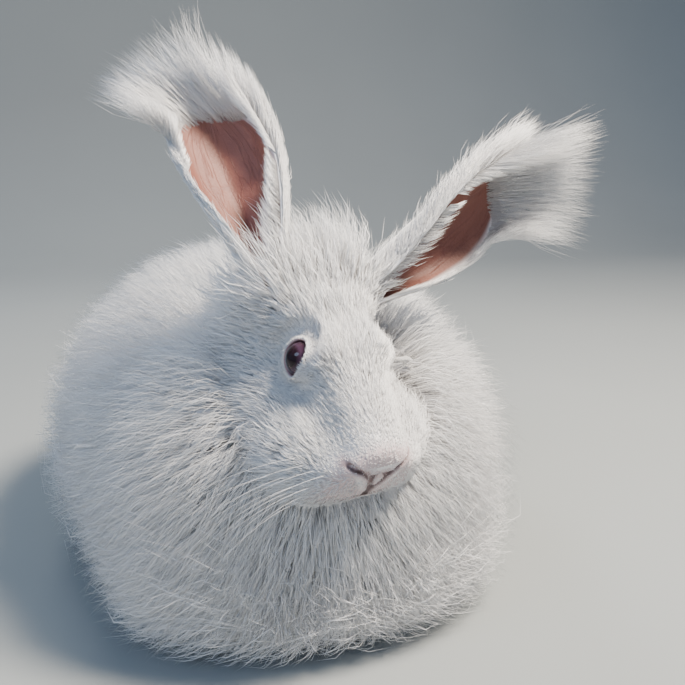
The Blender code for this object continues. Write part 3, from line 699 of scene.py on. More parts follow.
def ring_mesh(name, rows):
    """A closed ring from rows of points, the last joined to the first."""
    return rows_mesh(name, [np.concatenate([rows, rows[:1]])], poles=False)


def welded(obj, reach=1e-6):
    work = bmesh.new()
    work.from_mesh(obj.data)
    bmesh.ops.remove_doubles(work, verts=work.verts, dist=reach)
    bmesh.ops.recalc_face_normals(work, faces=work.faces)
    if work.calc_volume(signed=True) < 0:
        bmesh.ops.reverse_faces(work, faces=work.faces)
    work.to_mesh(obj.data)
    work.free()
    return obj


# %% The eyeballs, steeper at the cornea
CORNEA_HALF = math.radians(48)
CORNEA_RISE = 0.0006


def eyeball(side, word):
    gaze, corner, across = eye_axes(side)
    rings, sides = 90, 96
    tilt = (np.pi * (np.arange(rings) + 0.5) / rings)[:, None]
    turn = (2 * np.pi * np.arange(sides) / sides)[None, :]
    bulge = CORNEA_RISE * smooth_step(1, 0, tilt / CORNEA_HALF)
    reach = (EYE_RADIUS - 0.0002 + bulge)[..., None]
    spoke = corner * np.cos(turn)[..., None] + across * np.sin(turn)[..., None]
    rows = eye_centre(side) + reach * (gaze * np.cos(tilt)[..., None] + spoke * np.sin(tilt)[..., None])
    ball = rows_mesh("eyeball_" + word, [rows])
    ball.data.shade_smooth()
    points = read(ball.data.vertices, "co", 3) - eye_centre(side)
    away = np.arccos(np.clip(unit(points) @ gaze, -1, 1))
    angle = np.arctan2(points @ across, points @ corner)
    for name, values in (("away", away), ("streak_x", np.cos(angle)), ("streak_y", np.sin(angle))):
        store(ball.data, name, values)
    return ball


eyes = {side: eyeball(side, word) for side, word in ((-1, "right"), (1, "left"))}

# %% The eyes' finish
PUPIL_HALF = math.radians(27)
IRIS_HALF = math.radians(58)
eye_finish, nodes = new_material("albino_eye")
away = nodes.attribute("away")
spin = nodes.add(
    "ShaderNodeCombineXYZ",
    None,
    {"X": nodes.attribute("streak_x"), "Y": nodes.attribute("streak_y"), "Z": away * 0.4},
)
streaks = nodes.add("ShaderNodeTexNoise", None, {"Vector": spin, "Scale": 9.0, "Detail": 4.0})
iris_share = (away - PUPIL_HALF) / (IRIS_HALF - PUPIL_HALF) + (streaks - 0.5) * 0.35
iris = nodes.add(
    "ShaderNodeValToRGB",
    {
        "stops": [
            (0.00, (0.008, 0.001, 0.003)),
            (0.10, (0.020, 0.006, 0.012)),
            (0.40, (0.060, 0.030, 0.056)),
            (0.75, (0.044, 0.016, 0.032)),
            (1.00, (0.060, 0.018, 0.026)),
        ]
    },
    {0: iris_share},
)
eye_colour = nodes.mix(streaks * 0.25, iris, (0.05, 0.01, 0.02))
nodes.finish(
    Base_Color=eye_colour,
    Roughness=0.12,
    Coat_Weight=0.3,
    Coat_Roughness=0.02,
    Specular_IOR_Level=0.25,
)
for side, word in ((-1, "right"), (1, "left")):
    eyes[side].data.materials.append(eye_finish)
    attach(eyes[side], "root")
    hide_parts("eye_" + word)
print("eyes", [obj.name for obj in eyes.values()])

# %% [markdown]
# ## Ears
#
# An ear is a leaf of leather rolled round its length, open to the front. It is thin, pink inside where
# the coat is sparse, and white with fur on its back. The leaf is built from the same values as its solid,
# with a soft ridge on either side of its middle.

# %% The ear's leaf
EAR_LENGTH = 0.112
EAR_THICK = 0.0026
EAR_INSET = 0.0003  # how far the leaf lies inside the back of its solid
EAR_ROOT = (0.0215, -0.029, 0.026)
EAR_RUN = {-1: (-0.09, -0.60, 0.80), 1: (0.87, -0.07, 0.50)}
EAR_FACING = {-1: (-0.19, 1.0, 0.15), 1: (0.13, 0.95, -0.28)}
# Place along the ear, half of its curved width, and the radius that it is rolled to
EAR_SECTIONS = np.array(
    (
        (0.00, 0.0200, 0.0085),
        (0.15, 0.0260, 0.0115),
        (0.35, 0.0310, 0.0180),
        (0.60, 0.0330, 0.0260),
        (0.80, 0.0285, 0.0300),
        (0.93, 0.0190, 0.0310),
        (1.00, 0.0070, 0.0310),
    )
)


def ear_frame(side):
    """The ear's root, the way it runs, the way its opening faces, and across it."""
    left, ahead, up = EAR_ROOT
    root = EYE_MIDDLE + head_direction(side * left, ahead, up)
    run = unit(head_direction(*EAR_RUN[side]))
    facing = head_direction(*EAR_FACING[side])
    facing = unit(facing - run * (facing @ run))
    return root, run, facing, np.cross(run, facing)


def ear_section(places):
    fine = np.linspace(0, 1, 401)
    found = []
    for column in (1, 2):
        values = np.interp(fine, EAR_SECTIONS[:, 0], EAR_SECTIONS[:, column])
        softened = np.convolve(np.pad(values, 20, mode="edge"), np.ones(41) / 41, "valid")
        found.append(np.interp(places, fine, softened))
    return found


def ear_point(side, places, shares, reach=0.0):
    """Points of the ear. shares run from -1 at one edge to 1 at the other, reach goes out of its back."""
    root, run, facing, across = ear_frame(side)
    half, radius = (values[..., None] for values in ear_section(places))
    places, shares = np.asarray(places)[..., None], np.asarray(shares)[..., None]
    reach = np.asarray(reach)[..., None]
    angle = half / radius * shares
    outward = across * np.sin(angle) - facing * np.cos(angle)
    return root + run * (EAR_LENGTH * places) + facing * radius + outward * (radius + reach)


def ear_grid(side, rings=110, sides=72):
    """The leaf as a closed tube: out along its back and home along its front."""
    turn = 2 * np.pi * np.arange(2 * sides) / (2 * sides)
    shares = np.cos(turn)[None, :] * 0.985
    places = np.linspace(0, 1, rings)[:, None]
    thick = EAR_THICK * (0.55 + 0.45 * (1 - places**2))
    face = np.sin(turn)[None, :]
    reach = -EAR_INSET - thick * (1 - signed_power(face, 0.35)) / 2
    ridges = 0.0007 * np.cos(shares * 9.5) * (1 - shares**2) * np.sin(np.pi * places)
    reach = reach + np.where(face < 0, ridges, 0)
    places, shares, reach = np.broadcast_arrays(places, shares, reach)
    return ear_point(side, places, shares, reach)


ears = {side: rows_mesh("ear_leaf", [ear_grid(side)]) for side in SIDES}
print("ears", [len(obj.data.polygons) for obj in ears.values()])

# %% [markdown]
# ## One skin
#
# The eggs of the body are melted into one form by the Remesh modifier in voxel mode, then smoothed, which
# gives the soft joins of a real body. The fine head, the ears and the lids would lose their detail in
# voxels, so they are joined to it by a Boolean instead, and the sockets and the lids' openings are cut.
# Each part keeps its own material through that.

# %% Body skin from voxels
body = rows_mesh("body_skin", [egg.rows() for egg in skin_eggs])
melt = body.modifiers.new("melt", "REMESH")
melt.mode = "VOXEL"
melt.voxel_size = 0.0030
even = body.modifiers.new("even", "SMOOTH")
even.factor = 0.6
even.iterations = 12
applied(body)
print("body skin", len(body.data.polygons), "faces")

# %% Join the body, the head, the ears and the lids, and cut the sockets
finishes = {}
for name in ("body_skin", "face_skin", "ear_leather", "lid_rim"):
    finishes[name] = new_material(name)


def combine(obj, others, operation):
    group = bpy.data.collections.new("pieces")
    for other in others:
        group.objects.link(other)
    step = obj.modifiers.new("join", "BOOLEAN")
    step.operand_type = "COLLECTION"
    step.collection = group
    step.operation = operation
    step.solver = "MANIFOLD"
    step.material_mode = "TRANSFER"
    applied(obj)
    for other in others:
        bpy.data.objects.remove(other)
    bpy.data.collections.remove(group)


def assign(obj, finish):
    obj.data.materials.clear()
    obj.data.materials.append(finishes[finish][0])
    return obj


lids = [assign(welded(ring_mesh("lids", lid_rows(side))), "face_skin") for side in SIDES]
# Angle from the rim of the lids and distance from the ball, along the cut that opens them
OPENING_CUT = np.array(
    (
        (-0.30, -0.0020),
        (-0.08, 0.0006),
        (-0.04, 0.0014),
        (0.10, 0.0030),
        (0.22, 0.0090),
    )
)
SOCKET_GAP = 0.0001  # between the eyeball and its socket
sockets = []
for side in SIDES:
    radius = EYE_RADIUS + SOCKET_GAP
    ball = Egg(eye_centre(side), radius, radius, radius, radius, radius)
    sockets.append(assign(rows_mesh("socket", [ball.rows()]), "lid_rim"))
    rings = np.swapaxes(lid_rows(side, OPENING_CUT), 0, 1)
    sockets.append(assign(welded(rows_mesh("opening", [rings])), "lid_rim"))
skin = assign(welded(head), "face_skin")
skin.name = "skin"
for obj, finish in ((body, "body_skin"), (ears[-1], "ear_leather"), (ears[1], "ear_leather")):
    assign(welded(obj), finish)
combine(skin, [body, ears[-1], ears[1]] + lids, "UNION")
combine(skin, sockets, "DIFFERENCE")
skin.data.shade_smooth()
print("skin", len(skin.data.polygons), "faces,", [m.name for m in skin.data.materials])

# %% Unwrap the skin
for other in scene.objects:
    other.select_set(False)
bpy.context.view_layer.objects.active = skin
skin.select_set(True)
bpy.ops.object.mode_set(mode="EDIT")
bpy.ops.mesh.select_all(action="SELECT")
bpy.ops.uv.smart_project(angle_limit=math.radians(66), island_margin=0.002)
bpy.ops.object.mode_set(mode="OBJECT")

skin.data.calc_loop_triangles()
triangles = skin.data.loop_triangles
corners = read(triangles, "vertices", 3, int)
corner_loops = read(triangles, "loops", 3, int)
triangle_finish = read(triangles, "material_index", 1, int)
skin_points = read(skin.data.vertices, "co", 3)
skin_normals = read(skin.data.vertices, "normal", 3)
skin_uv = read(skin.data.uv_layers.active.data, "uv", 2)
finish_names = [material.name for material in skin.data.materials]
print("skin triangles", len(triangles), "finishes", finish_names)


# %% Marks of the face and the ears, stored on the skin
def ear_place(side, points):
    """Place along the ear, share across it and how far in from its back, for points near it."""
    root, run, facing, across = ear_frame(side)
    away = points - root
    places = away @ run / EAR_LENGTH
    half, radius = ear_section(np.clip(places, 0, 1))
    spoke = away - np.outer(places * EAR_LENGTH, run) - np.outer(radius, facing)
    angle = np.arctan2(spoke @ across, -(spoke @ facing))
    return places, angle / (half / radius), radius - np.linalg.norm(spoke, axis=1)


nose_apart, nose_along = line_distance(skin_points, lines["nostril"])
mouth_apart, mouth_along = line_distance(skin_points, lines["mouth"])
cleft_apart, _ = line_distance(skin_points, lines["cleft"])
lid_apart, _ = line_distance(skin_points, lines["lids"])
# Painted shade: the slits of the nose, the cleft and the front of the mouth line are marked here to be
# painted nearly black, for the shade deep in them.
dark = smooth_step(0.0021, 0.0010, nose_apart) * smooth_step(0, 0.15, nose_along)
dark = np.maximum(dark, smooth_step(0.0034, 0.0012, cleft_apart))
dark = np.maximum(dark, smooth_step(0.0022, 0.0010, mouth_apart) * smooth_step(0.5, 1.0, 1 - mouth_along))
pink = 0.7 * np.exp(-((nose_apart / 0.0045) ** 2))
skin_places, _, skin_sizes = head_place(skin_points)
pink = np.maximum(pink, 0.55 * smooth_step(0.11, 0.03, skin_places) * (skin_sizes < 1.6))
pink = np.maximum(pink, 0.5 * np.exp(-((cleft_apart / 0.0045) ** 2)))
pink = np.maximum(pink, 0.8 * smooth_step(0.0060, 0.0016, lid_apart))
ear_along, ear_across, ear_inner = np.zeros((3, len(skin_points)))
for side in SIDES:
    places, shares, depths = ear_place(side, skin_points)
    near = (np.abs(depths) < 0.005) & (places > -0.1) & (places < 1.05) & (np.abs(shares) < 1.1)
    near &= np.sign(skin_points[:, 0]) == side
    ear_along = np.where(near, places, ear_along)
    ear_across = np.where(near, shares, ear_across)
    inner = smooth_step(0.0008, 0.0018, depths) * smooth_step(1.0, 0.82, np.abs(shares))
    ear_inner = np.where(near, inner, ear_inner)
store(skin.data, "dark", dark)
store(skin.data, "pink", pink)
store(skin.data, "ear_along", ear_along)
store(skin.data, "ear_across", ear_across)
store(skin.data, "ear_inner", ear_inner)

# %% [markdown]
# ## Finishes of the skin
#
# Short fur on the face is only about 3 mm deep, so the skin under it is painted as fur too: white with a
# fine streaky bump. The bare edges of the lids, the nose and the mouth are pink. The slits of the nose, the
# cleft and the mouth line get painted shade, nearly black. The ear's leather is a warm pink with darker veins
# that branch along it.

# %% Face, lids and body skin
FUR_WHITE = (0.93, 0.92, 0.93)
SKIN_PINK = (0.40, 0.19, 0.20)
for name in ("body_skin", "face_skin", "lid_rim"):
    nodes = finishes[name][1]
    hairs = nodes.noise(900.0, 3.0, (1.0, 0.35, 0.35))
    patches = nodes.noise(60.0, 2.0)
    white = nodes.mix(patches, FUR_WHITE, (0.90, 0.87, 0.86))
    white = nodes.mix(hairs * 0.2, white, (0.80, 0.78, 0.79))
    flesh = nodes.mix(patches * 0.6, SKIN_PINK, (0.36, 0.15, 0.15))
    colour = nodes.mix(nodes.attribute("pink"), white, flesh)
    # Painted shade, nearly black, in the slits of the nose, the cleft and the mouth line.
    colour = nodes.mix(nodes.attribute("dark"), colour, (0.048, 0.020, 0.018))
    relief = nodes.bump(hairs, 0.0006, 0.7)
    nodes.finish(Base_Color=colour, Roughness=0.62, Normal=relief)

# %% Ear leather
nodes = finishes["ear_leather"][1]
across = nodes.attribute("ear_across")
along = nodes.attribute("ear_along")
place = nodes.add("ShaderNodeCombineXYZ", None, {"X": across * 2.2, "Y": along * 1.2})
wander = nodes.add("ShaderNodeTexNoise", None, {"Vector": place, "Scale": 2.6, "Detail": 3.0})
branch = nodes.add("ShaderNodeCombineXYZ", None, {"X": across * 3.0 + wander * 1.4, "Y": along * 2.0})
cells = nodes.add("ShaderNodeTexVoronoi", {"feature": "DISTANCE_TO_EDGE"}, {"Vector": branch, "Scale": 1.5})
middle = nodes.add("ShaderNodeMath", {"operation": "ABSOLUTE"}, {0: across - wander * 0.5 + 0.25})
vein, trunk = (
    nodes.add("ShaderNodeMapRange", None, {"Value": value, "From Max": most, "To Min": 1.0, "To Max": 0.0})
    for value, most in ((cells, 0.05), (middle, 0.07))
)
leather = nodes.mix(wander, (0.27, 0.10, 0.07), (0.20, 0.065, 0.045))
leather = nodes.mix(vein * 0.35, leather, (0.13, 0.028, 0.024))
leather = nodes.mix(trunk * 0.6 * (1 - along), leather, (0.10, 0.022, 0.022))
grain = nodes.noise(700.0, 3.0)
colour = nodes.mix(nodes.attribute("ear_inner"), FUR_WHITE, leather)
nodes.finish(Base_Color=colour, Roughness=0.55, Normal=nodes.bump(grain + vein * 0.6, 0.0004, 0.6))

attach(skin, "root")
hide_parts(*[name for name in frame["nodes"] if not name.startswith("eye")])

# %% [markdown]
# ## Wool
#
# Angora wool is made of very fine hairs, 60 to 90 mm long, that stand out from the body and then bend
# along the lie of the coat, from the head backwards and down the sides. Neighbours cling together in
# small locks whose tips meet. Hair systems are lost in an export, so every hair here is a closed, three-
# sided mesh: rings of points from its root to its tip, worked out for all hairs of a region at once with
# arrays.


# %% Roots scattered over the skin
def scatter(count, finish, weigh, seed):
    """Roots on the skin's triangles of one finish, more where weigh() is larger: points, normals, unwrap."""
    chance = np.random.default_rng(seed)
    chosen = np.flatnonzero(triangle_finish == finish_names.index(finish))
    a, b, c = (skin_points[corners[chosen, i]] for i in range(3))
    area = np.linalg.norm(np.cross(b - a, c - a), axis=1)
    middle_normals = unit(skin_normals[corners[chosen]].mean(1))
    weight = area * weigh((a + b + c) / 3, middle_normals)
    picked = chosen[chance.choice(len(chosen), count, p=weight / weight.sum())]
    first, second = chance.random((2, count))
    over = first + second > 1
    first, second = np.where(over, 1 - first, first), np.where(over, 1 - second, second)
    shares = np.stack([1 - first - second, first, second], -1)[..., None]
    points = (skin_points[corners[picked]] * shares).sum(1)
    normals = unit((skin_normals[corners[picked]] * shares).sum(1))
    unwrap = (skin_uv[corner_loops[picked]] * shares).sum(1)
    return points, normals, unwrap


# %% Hairs from roots
LONG_STEPS = np.array([0.0, 0.42, 0.76, 1.0])
BENT_STEPS = np.array([0.0, 0.62, 1.0])
SHORT_STEPS = np.array([0.0, 0.5, 1.0])
PATCH = 0.003  # each hair's size in the unwrap
FLOOR_CLEAR = 0.0012
FLOOR_SOFT = 0.009  # below this height the wool bends along the floor


def hair_paths(roots, normals, lies, heights, reaches, steps, seed, curl, clump, per_clump):
    """Every hair's middle line: out along its normal, over along its lie, and drawn to its clump's leader."""
    chance = np.random.default_rng(seed)
    lies = unit(lies - normals * dot(lies, normals))
    side = np.cross(normals, lies)
    share = steps[None, :, None]
    out = 1 - (1 - share) ** 1.7
    over = share**1.5
    paths = roots[:, None] + normals[:, None] * out * heights[:, None, None]
    paths = paths + lies[:, None] * over * reaches[:, None, None]
    wave, turn = chance.random((2, len(roots), 1, 1))
    swing = np.sin(2 * np.pi * (share * (0.7 + 0.6 * wave) + turn)) - np.sin(2 * np.pi * turn)
    lean = chance.normal(0, 0.12, (len(roots), 1, 1)) * reaches[:, None, None] * over
    paths = paths + side[:, None] * (swing * share * curl * reaches[:, None, None] + lean)
    if clump:
        leaders = chance.permutation(len(roots))[: max(1, len(roots) // per_clump)]
        tree = KDTree(len(leaders))
        for i, leader in enumerate(leaders):
            tree.insert(roots[leader], i)
        tree.balance()
        own = np.array([leaders[tree.find(root)[1]] for root in roots])
        pull = clump * chance.uniform(0.45, 1.25, (len(roots), 1, 1))
        paths = paths + (paths[own] - paths) * np.clip(pull, 0, 0.95) * share**1.6
    return paths


def above_floor(paths, clear=FLOOR_CLEAR):
    """Points near the floor are bent up softly, so that none lies below it."""
    low = clear + FLOOR_SOFT
    height = paths[..., 2]
    bent = clear + FLOOR_SOFT * np.exp(np.clip((height - low) / FLOOR_SOFT, -30, 0))
    paths[..., 2] = np.where(height < low, bent, height)
    return paths


def hair_mesh(name, paths, unwrap, widths, tone, finish, steps, sides):
    """Closed tapered hairs with a few sides. Their share from root to tip and their tone are kept on them."""
    count, rings = paths.shape[0], paths.shape[1] - 1
    run = unit(np.gradient(paths, axis=1))
    first = unit(np.cross(run, np.array([0.13, 0.29, 0.95])))
    second = np.cross(run, first)
    body = np.interp(steps[:-1], (0.0, 0.3, 0.6, 1.0), (0.75, 1.0, 0.9, 0.25))
    radius = (widths[:, None] * body / 2)[..., None, None]
    turn = 2 * np.pi * np.arange(sides) / sides
    spokes = first[:, :-1, None] * np.cos(turn)[:, None] + second[:, :-1, None] * np.sin(turn)[:, None]
    rows = paths[:, :-1, None] + spokes * radius
    points = np.concatenate([rows.reshape(count, -1, 3), paths[:, -1:]], 1)
    each = rings * sides + 1
    pattern = [(0, j + 1, j) for j in range(1, sides - 1)]
    for i in range(rings - 1):
        for j in range(sides):
            k = (j + 1) % sides
            a, b = sides * i, sides * (i + 1)
            pattern += [(a + j, a + k, b + k), (a + j, b + k, b + j)]
    top = sides * (rings - 1)
    pattern += [(top + j, top + (j + 1) % sides, each - 1) for j in range(sides)]
    faces = ((np.arange(count) * each)[:, None, None] + np.array(pattern)[None]).reshape(-1)
    mesh = bpy.data.meshes.new(name)
    mesh.vertices.add(count * each)
    mesh.vertices.foreach_set("co", points.reshape(-1))
    mesh.loops.add(len(faces))
    mesh.loops.foreach_set("vertex_index", faces)
    mesh.polygons.add(len(faces) // 3)
    mesh.polygons.foreach_set("loop_start", np.arange(0, len(faces), 3))
    mesh.update(calc_edges=True)
    mesh.shade_smooth()
    across = np.append(np.tile(np.linspace(0, 1, sides), rings), 0.5)
    along = np.append(np.repeat(steps[:-1], sides), 1.0)
    spot = np.stack([across, along], -1) - 0.5
    places = (unwrap[:, None] + spot * PATCH).reshape(-1, 2)
    layer = mesh.uv_layers.new(name="OFBake")
    layer.data.foreach_set("uv", places[faces].reshape(-1))
    store(mesh, "reach", np.tile(along, count))
    store(mesh, "tone", np.repeat(tone, each))
    mesh.materials.append(finish)
    piece = linked(bpy.data.objects.new(name, mesh))
    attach(piece, "root")
    return piece


MOST_TRIANGLES = 190000  # of one piece
coat_triangles = []


def coat_pieces(name, paths, unwrap, widths, chance, finish, steps=LONG_STEPS, sides=3):
    """The hairs as one or more pieces, each below the most that a piece may have."""
    each = 2 * sides * (len(steps) - 1) - 2
    tone = chance.random(len(paths))
    parts = math.ceil(len(paths) * each / MOST_TRIANGLES)
    order = np.argsort(np.arctan2(paths[:, 0, 0], paths[:, 0, 1]), kind="stable")
    for number, chosen in enumerate(np.array_split(order, parts), 1):
        word = name if parts == 1 else f"{name}_{number}"
        hair_mesh(word, paths[chosen], unwrap[chosen], widths[chosen], tone[chosen], finish, steps, sides)
        coat_triangles.append(len(chosen) * each)
        print(word, len(chosen), "hairs,", coat_triangles[-1], "triangles")


# %% [markdown]
# ## The wool's finish
#
# Wool is white, a little yellower and darker near the skin. Light passes from hair to hair, which is why
# a fleece has hardly any dark gaps. Subsurface light could stand for that, but it made the picture slower
# and no softer, so the colour near the skin is kept bright instead. The wide locks under the hairs carry
# fine streaks along their length, taken from each lock's own place in the unwrap.


# %% The wool's finish
def wool_material(name, streaked):
    finish, nodes = new_material(name)
    reach = nodes.attribute("reach")
    tone = nodes.attribute("tone")
    tip = nodes.mix(tone, (0.96, 0.955, 0.95), (0.92, 0.92, 0.94))
    deep = nodes.mix(tone, (0.91, 0.88, 0.85), (0.87, 0.85, 0.84))
    colour = nodes.mix(reach**0.6, deep, tip)
    sockets = {"Roughness": 0.65, "Specular_IOR_Level": 0.25}
    if streaked:
        own = nodes.add("ShaderNodeUVMap", {"uv_map": "OFBake"})
        drawn = nodes.add("ShaderNodeMapping", None, {"Vector": own, "Scale": (4000.0, 500.0, 1.0)})
        streaks = nodes.add("ShaderNodeTexNoise", None, {"Vector": drawn, "Scale": 1.0, "Detail": 3.0})
        colour = nodes.mix(streaks * 0.35, colour, (0.62, 0.60, 0.60))
        sockets["Normal"] = nodes.bump(streaks, 0.002, 0.8)
    nodes.finish(Base_Color=colour, **sockets)
    return finish


wool_finish = wool_material("angora_wool", False)
lock_finish = wool_material("angora_underwool", True)


# %% [markdown]
# ## Body wool
#
# The coat is built in three layers, from the inside out. Wide soft locks fill it to about two thirds of
# its depth, so that no one looks through to the skin. Narrow locks reach further, and fine ones reach the
# outside and a little beyond. All of them part along the spine, run backwards over the body and fall down
# the sides and the chest. The chest and the neck show most, so they get more roots.


# %% Body wool
def body_lie(points, normals):
    """Backwards and down the sides, parted along the spine; down and outwards over the chest."""
    x, y = points[:, 0], points[:, 1]
    top, rump, chest = (np.maximum(0, v) for v in (normals[:, 2], normals[:, 1], -normals[:, 1]))
    sideways = np.tanh(x / 0.02)
    torso = np.stack([sideways * 0.35 * top, 0.9 - 0.6 * rump, -0.45 - 0.6 * rump], -1)
    neck = np.stack([sideways * 0.45 * chest, 0.75 - 0.75 * chest, -0.5 - 0.4 * chest], -1)
    blend = smooth_step(-0.10, -0.04, y)[:, None]
    return unit(neck + (torso - neck) * blend)


def out_of_head(paths, stand):
    """Points inside the head are moved out past its skin. How deep each hair went is returned as a size."""
    points = paths.reshape(-1, 3)
    places, _, size = head_place(points)
    above, below, _, _ = head_section(np.clip(places, 0, 1.05))
    middle = head_point(0 * places, HEAD_LENGTH * places, (above - below) / 2)
    more = np.maximum(1, stand / np.maximum(0.2, size))[:, None]
    moved = middle + (points - middle) * more
    return moved.reshape(paths.shape), size.reshape(paths.shape[:2])[:, 1:].min(1)


EVEN_DEPTH = 0.06  # the larger, the less the density follows the coat's depth
RUFF_MORE = 1.3  # how many more roots there are on the chest and the neck
UPWARDS = 0.12  # how much the wool stands up against the skin's own normal
TOO_DEEP = 0.5  # hairs that start further inside the head than this size are left out
TOO_SHORT = 0.006


def body_weight(points, normals):
    """More roots where the coat is deep, because its hairs spread apart outwards, and few under the belly."""
    ruff = 1 + RUFF_MORE * smooth_step(-0.02, -0.09, points[:, 1])
    hidden = np.where(normals[:, 2] < -0.6, 0.15, 1.0) * np.where(points[:, 2] < 0.01, 0.4, 1.0)
    return hidden * ruff * (EVEN_DEPTH + coat_depth(points, normals))


def body_layer(name, count, wide, share, outside, seed, steps, sides, clump, finish):
    """One layer of the body's wool. share is its part of the coat's depth, outside where it has to end."""
    chance = np.random.default_rng(seed)
    roots, normals, unwrap = scatter(count, "body_skin", body_weight, seed + 1)
    spread = unit(normals + np.array([0.0, 0.0, UPWARDS]) + chance.normal(0, 0.10, normals.shape))
    heights = coat_depth(roots, spread) * chance.uniform(*share, count)
    reaches = heights * chance.uniform(0.45, 0.95, count)
    lies = body_lie(roots, normals)
    paths = hair_paths(roots, spread, lies, heights, reaches, steps, seed + 2, 0.10, clump, 18)
    widths = chance.uniform(*wide, count)
    paths = pressed_in(paths, chance.uniform(*outside, count)[:, None])
    paths = above_floor(paths, FLOOR_CLEAR + wide[1] / 2)
    paths, deepest = out_of_head(paths, 1.06 + wide[1] * 25)
    kept = (deepest > TOO_DEEP) & (heights > TOO_SHORT)
    coat_pieces(name, paths[kept], unwrap[kept], widths[kept], chance, finish, steps, sides)


# Name, count, widths, shares of the coat's depth, ends by its outside, seed, steps, sides, clumping, finish
for settings in (
    ("body_underwool", 4400, (0.004, 0.008), (0.52, 0.68), (0.7, 0.8), 130, LONG_STEPS, 5, 0, lock_finish),
    ("body_locks", 19000, (0.0004, 0.0009), (0.7, 0.95), (0.88, 0.97), 140, BENT_STEPS, 3, 0.1, wool_finish),
    ("body_wool", 49500, (0.0002, 0.00034), (0.8, 1.05), (0.93, 1.03), 150, BENT_STEPS, 3, 0.15, wool_finish),
):
    body_layer(*settings)


# %% [markdown]
# ## Wool of the head
#
# The face has short fur that lies back from the nose, and stands up in a blaze between the eyes. Behind
# the eyes it lengthens quickly, into a tuft on the crown, and on the cheeks it hangs back and down over
# the ruff. Around the eye the fur is shortest, and it parts, so that it never lies over the ball.


# %% Lengths and lie of the head's fur
def bell(values, middle, spread):
    return np.exp(-(((values - middle) / spread) ** 2))


LINE_BARE = 0.0014  # no hair grows nearer to the nose's slits than this
CLEFT_BARE = 0.0010  # how much wider the bare strip is along the cleft
LID_FURRED = 0.0006  # how much narrower it is along the lids


def head_fields(points):
    """Length of the hair and how much of it stands, from the place on the head."""
    places, degrees, _ = head_place(points)
    round_head = np.abs(degrees)
    low = smooth_step(70, 125, round_head)
    length = 0.0018 + 0.0042 * smooth_step(0.04, 0.26, places)
    length = length + 0.0085 * bell(places, 0.62, 0.22) * smooth_step(72, 35, round_head)
    length = length + 0.0070 * smooth_step(0.07, 0.20, places) * smooth_step(125, 160, round_head)
    length = length + 0.0200 * bell(places, 0.29, 0.16) * smooth_step(50, 95, round_head)
    length = length + 0.0200 * smooth_step(0.30, 0.62, places) * smooth_step(62, 105, round_head)
    length = length + 0.0280 * smooth_step(0.70, 0.98, places) + 0.014 * bell(places, 0.92, 0.12) * (1 - low)
    near_cleft = line_distance(points, lines["cleft"])[0] - CLEFT_BARE
    near_line = np.minimum(near_cleft, line_distance(points, lines["nostril"])[0])
    length = length * (0.25 + 0.75 * smooth_step(0.001, 0.010, near_line))
    near_lid = line_distance(points, lines["lids"])[0]
    near_eye = smooth_step(0.0110, 0.0030, near_lid)
    length = length * (1 - near_eye) + 0.0024 * near_eye
    stand = 0.28 + 0.28 * smooth_step(0.0035, 0.014, length)
    stand = stand + 0.16 * smooth_step(0.75, 0.95, places) * (1 - low)
    return length, stand, degrees, low, near_eye, np.minimum(near_line, near_lid + LID_FURRED)


def head_lie(points, degrees, low, near_eye):
    left = np.sign(degrees + 1e-6) * (0.10 + 0.20 * low)
    ways = unit(np.stack([left, -0.85 + 0 * left, 0.35 - 0.85 * low], -1) @ HEAD_AXES)
    eye = np.where(points[:, :1] < 0, eye_centre(-1), eye_centre(1))
    return unit(ways + 1.8 * near_eye[:, None] * unit(points - eye))


def head_layer(name, count, wide, share, shortest, longest, seed, steps, sides, clump, finish):
    """One layer of the head's fur, on the places where the fur's length lies between two values."""

    def weigh(points, normals):
        length, _, _, _, near_eye, near_line = head_fields(points)
        bare = (near_line < LINE_BARE) | (length < shortest) | (length > longest)
        nose = smooth_step(0.01, 0.10, head_place(points)[0])
        return np.where(bare, 0.0, 0.3 + 0.7 * nose + 2.5 * near_eye)

    chance = np.random.default_rng(seed)
    roots, normals, unwrap = scatter(count, "face_skin", weigh, seed + 1)
    length, stand, degrees, low, near_eye, _ = head_fields(roots)
    lies = head_lie(roots, degrees, low, near_eye)
    length = length * chance.uniform(*share, count)
    stand = np.clip(stand * chance.normal(1, 0.15, count), 0.15, 0.95)
    heights, reaches = length * stand, length * np.sqrt(1 - stand**2)
    paths = hair_paths(roots, normals, lies, heights, reaches, steps, seed + 2, 0.10, clump, 12)
    widths = chance.uniform(*wide, count)
    coat_pieces(name, above_floor(paths), unwrap, widths, chance, finish, steps, sides)


# %% Layers of the head's fur
# Name, count, widths, shares of the length, shortest, longest, seed, steps, sides, clumping, finish
for settings in (
    ("head_underwool", 900, (0.003, 0.005), (0.40, 0.58), 0.016, 1, 200, LONG_STEPS, 5, 0, lock_finish),
    ("head_locks", 5000, (0.0004, 0.0009), (0.65, 1.0), 0.008, 1, 210, BENT_STEPS, 3, 0.25, wool_finish),
    ("head_wool", 12000, (0.00022, 0.00036), (0.75, 1.2), 0.010, 1, 220, BENT_STEPS, 3, 0.20, wool_finish),
    ("face_fur", 25000, (0.00022, 0.00034), (0.75, 1.15), 0, 0.014, 230, SHORT_STEPS, 3, 0.25, wool_finish),
):
    head_layer(*settings)

# %% [markdown]
# ## Wisps of the cheeks
#
# From the rear of each cheek long locks hang back and down over the ruff. They are the longest hair of
# the head and catch the light, so they get roots of their own, given by their place on the head.


# %% Places in the unwrap for roots that are given by a formula
def unwrap_of(points, finish):
    chosen = np.flatnonzero(triangle_finish == finish_names.index(finish))
    tree = KDTree(len(chosen))
    for number, middle in zip(chosen, skin_points[corners[chosen]].mean(1)):
        tree.insert(middle, int(number))
    tree.balance()
    nearest = np.array([tree.find(point)[1] for point in points])
    return skin_uv[corner_loops[nearest]].mean(1)


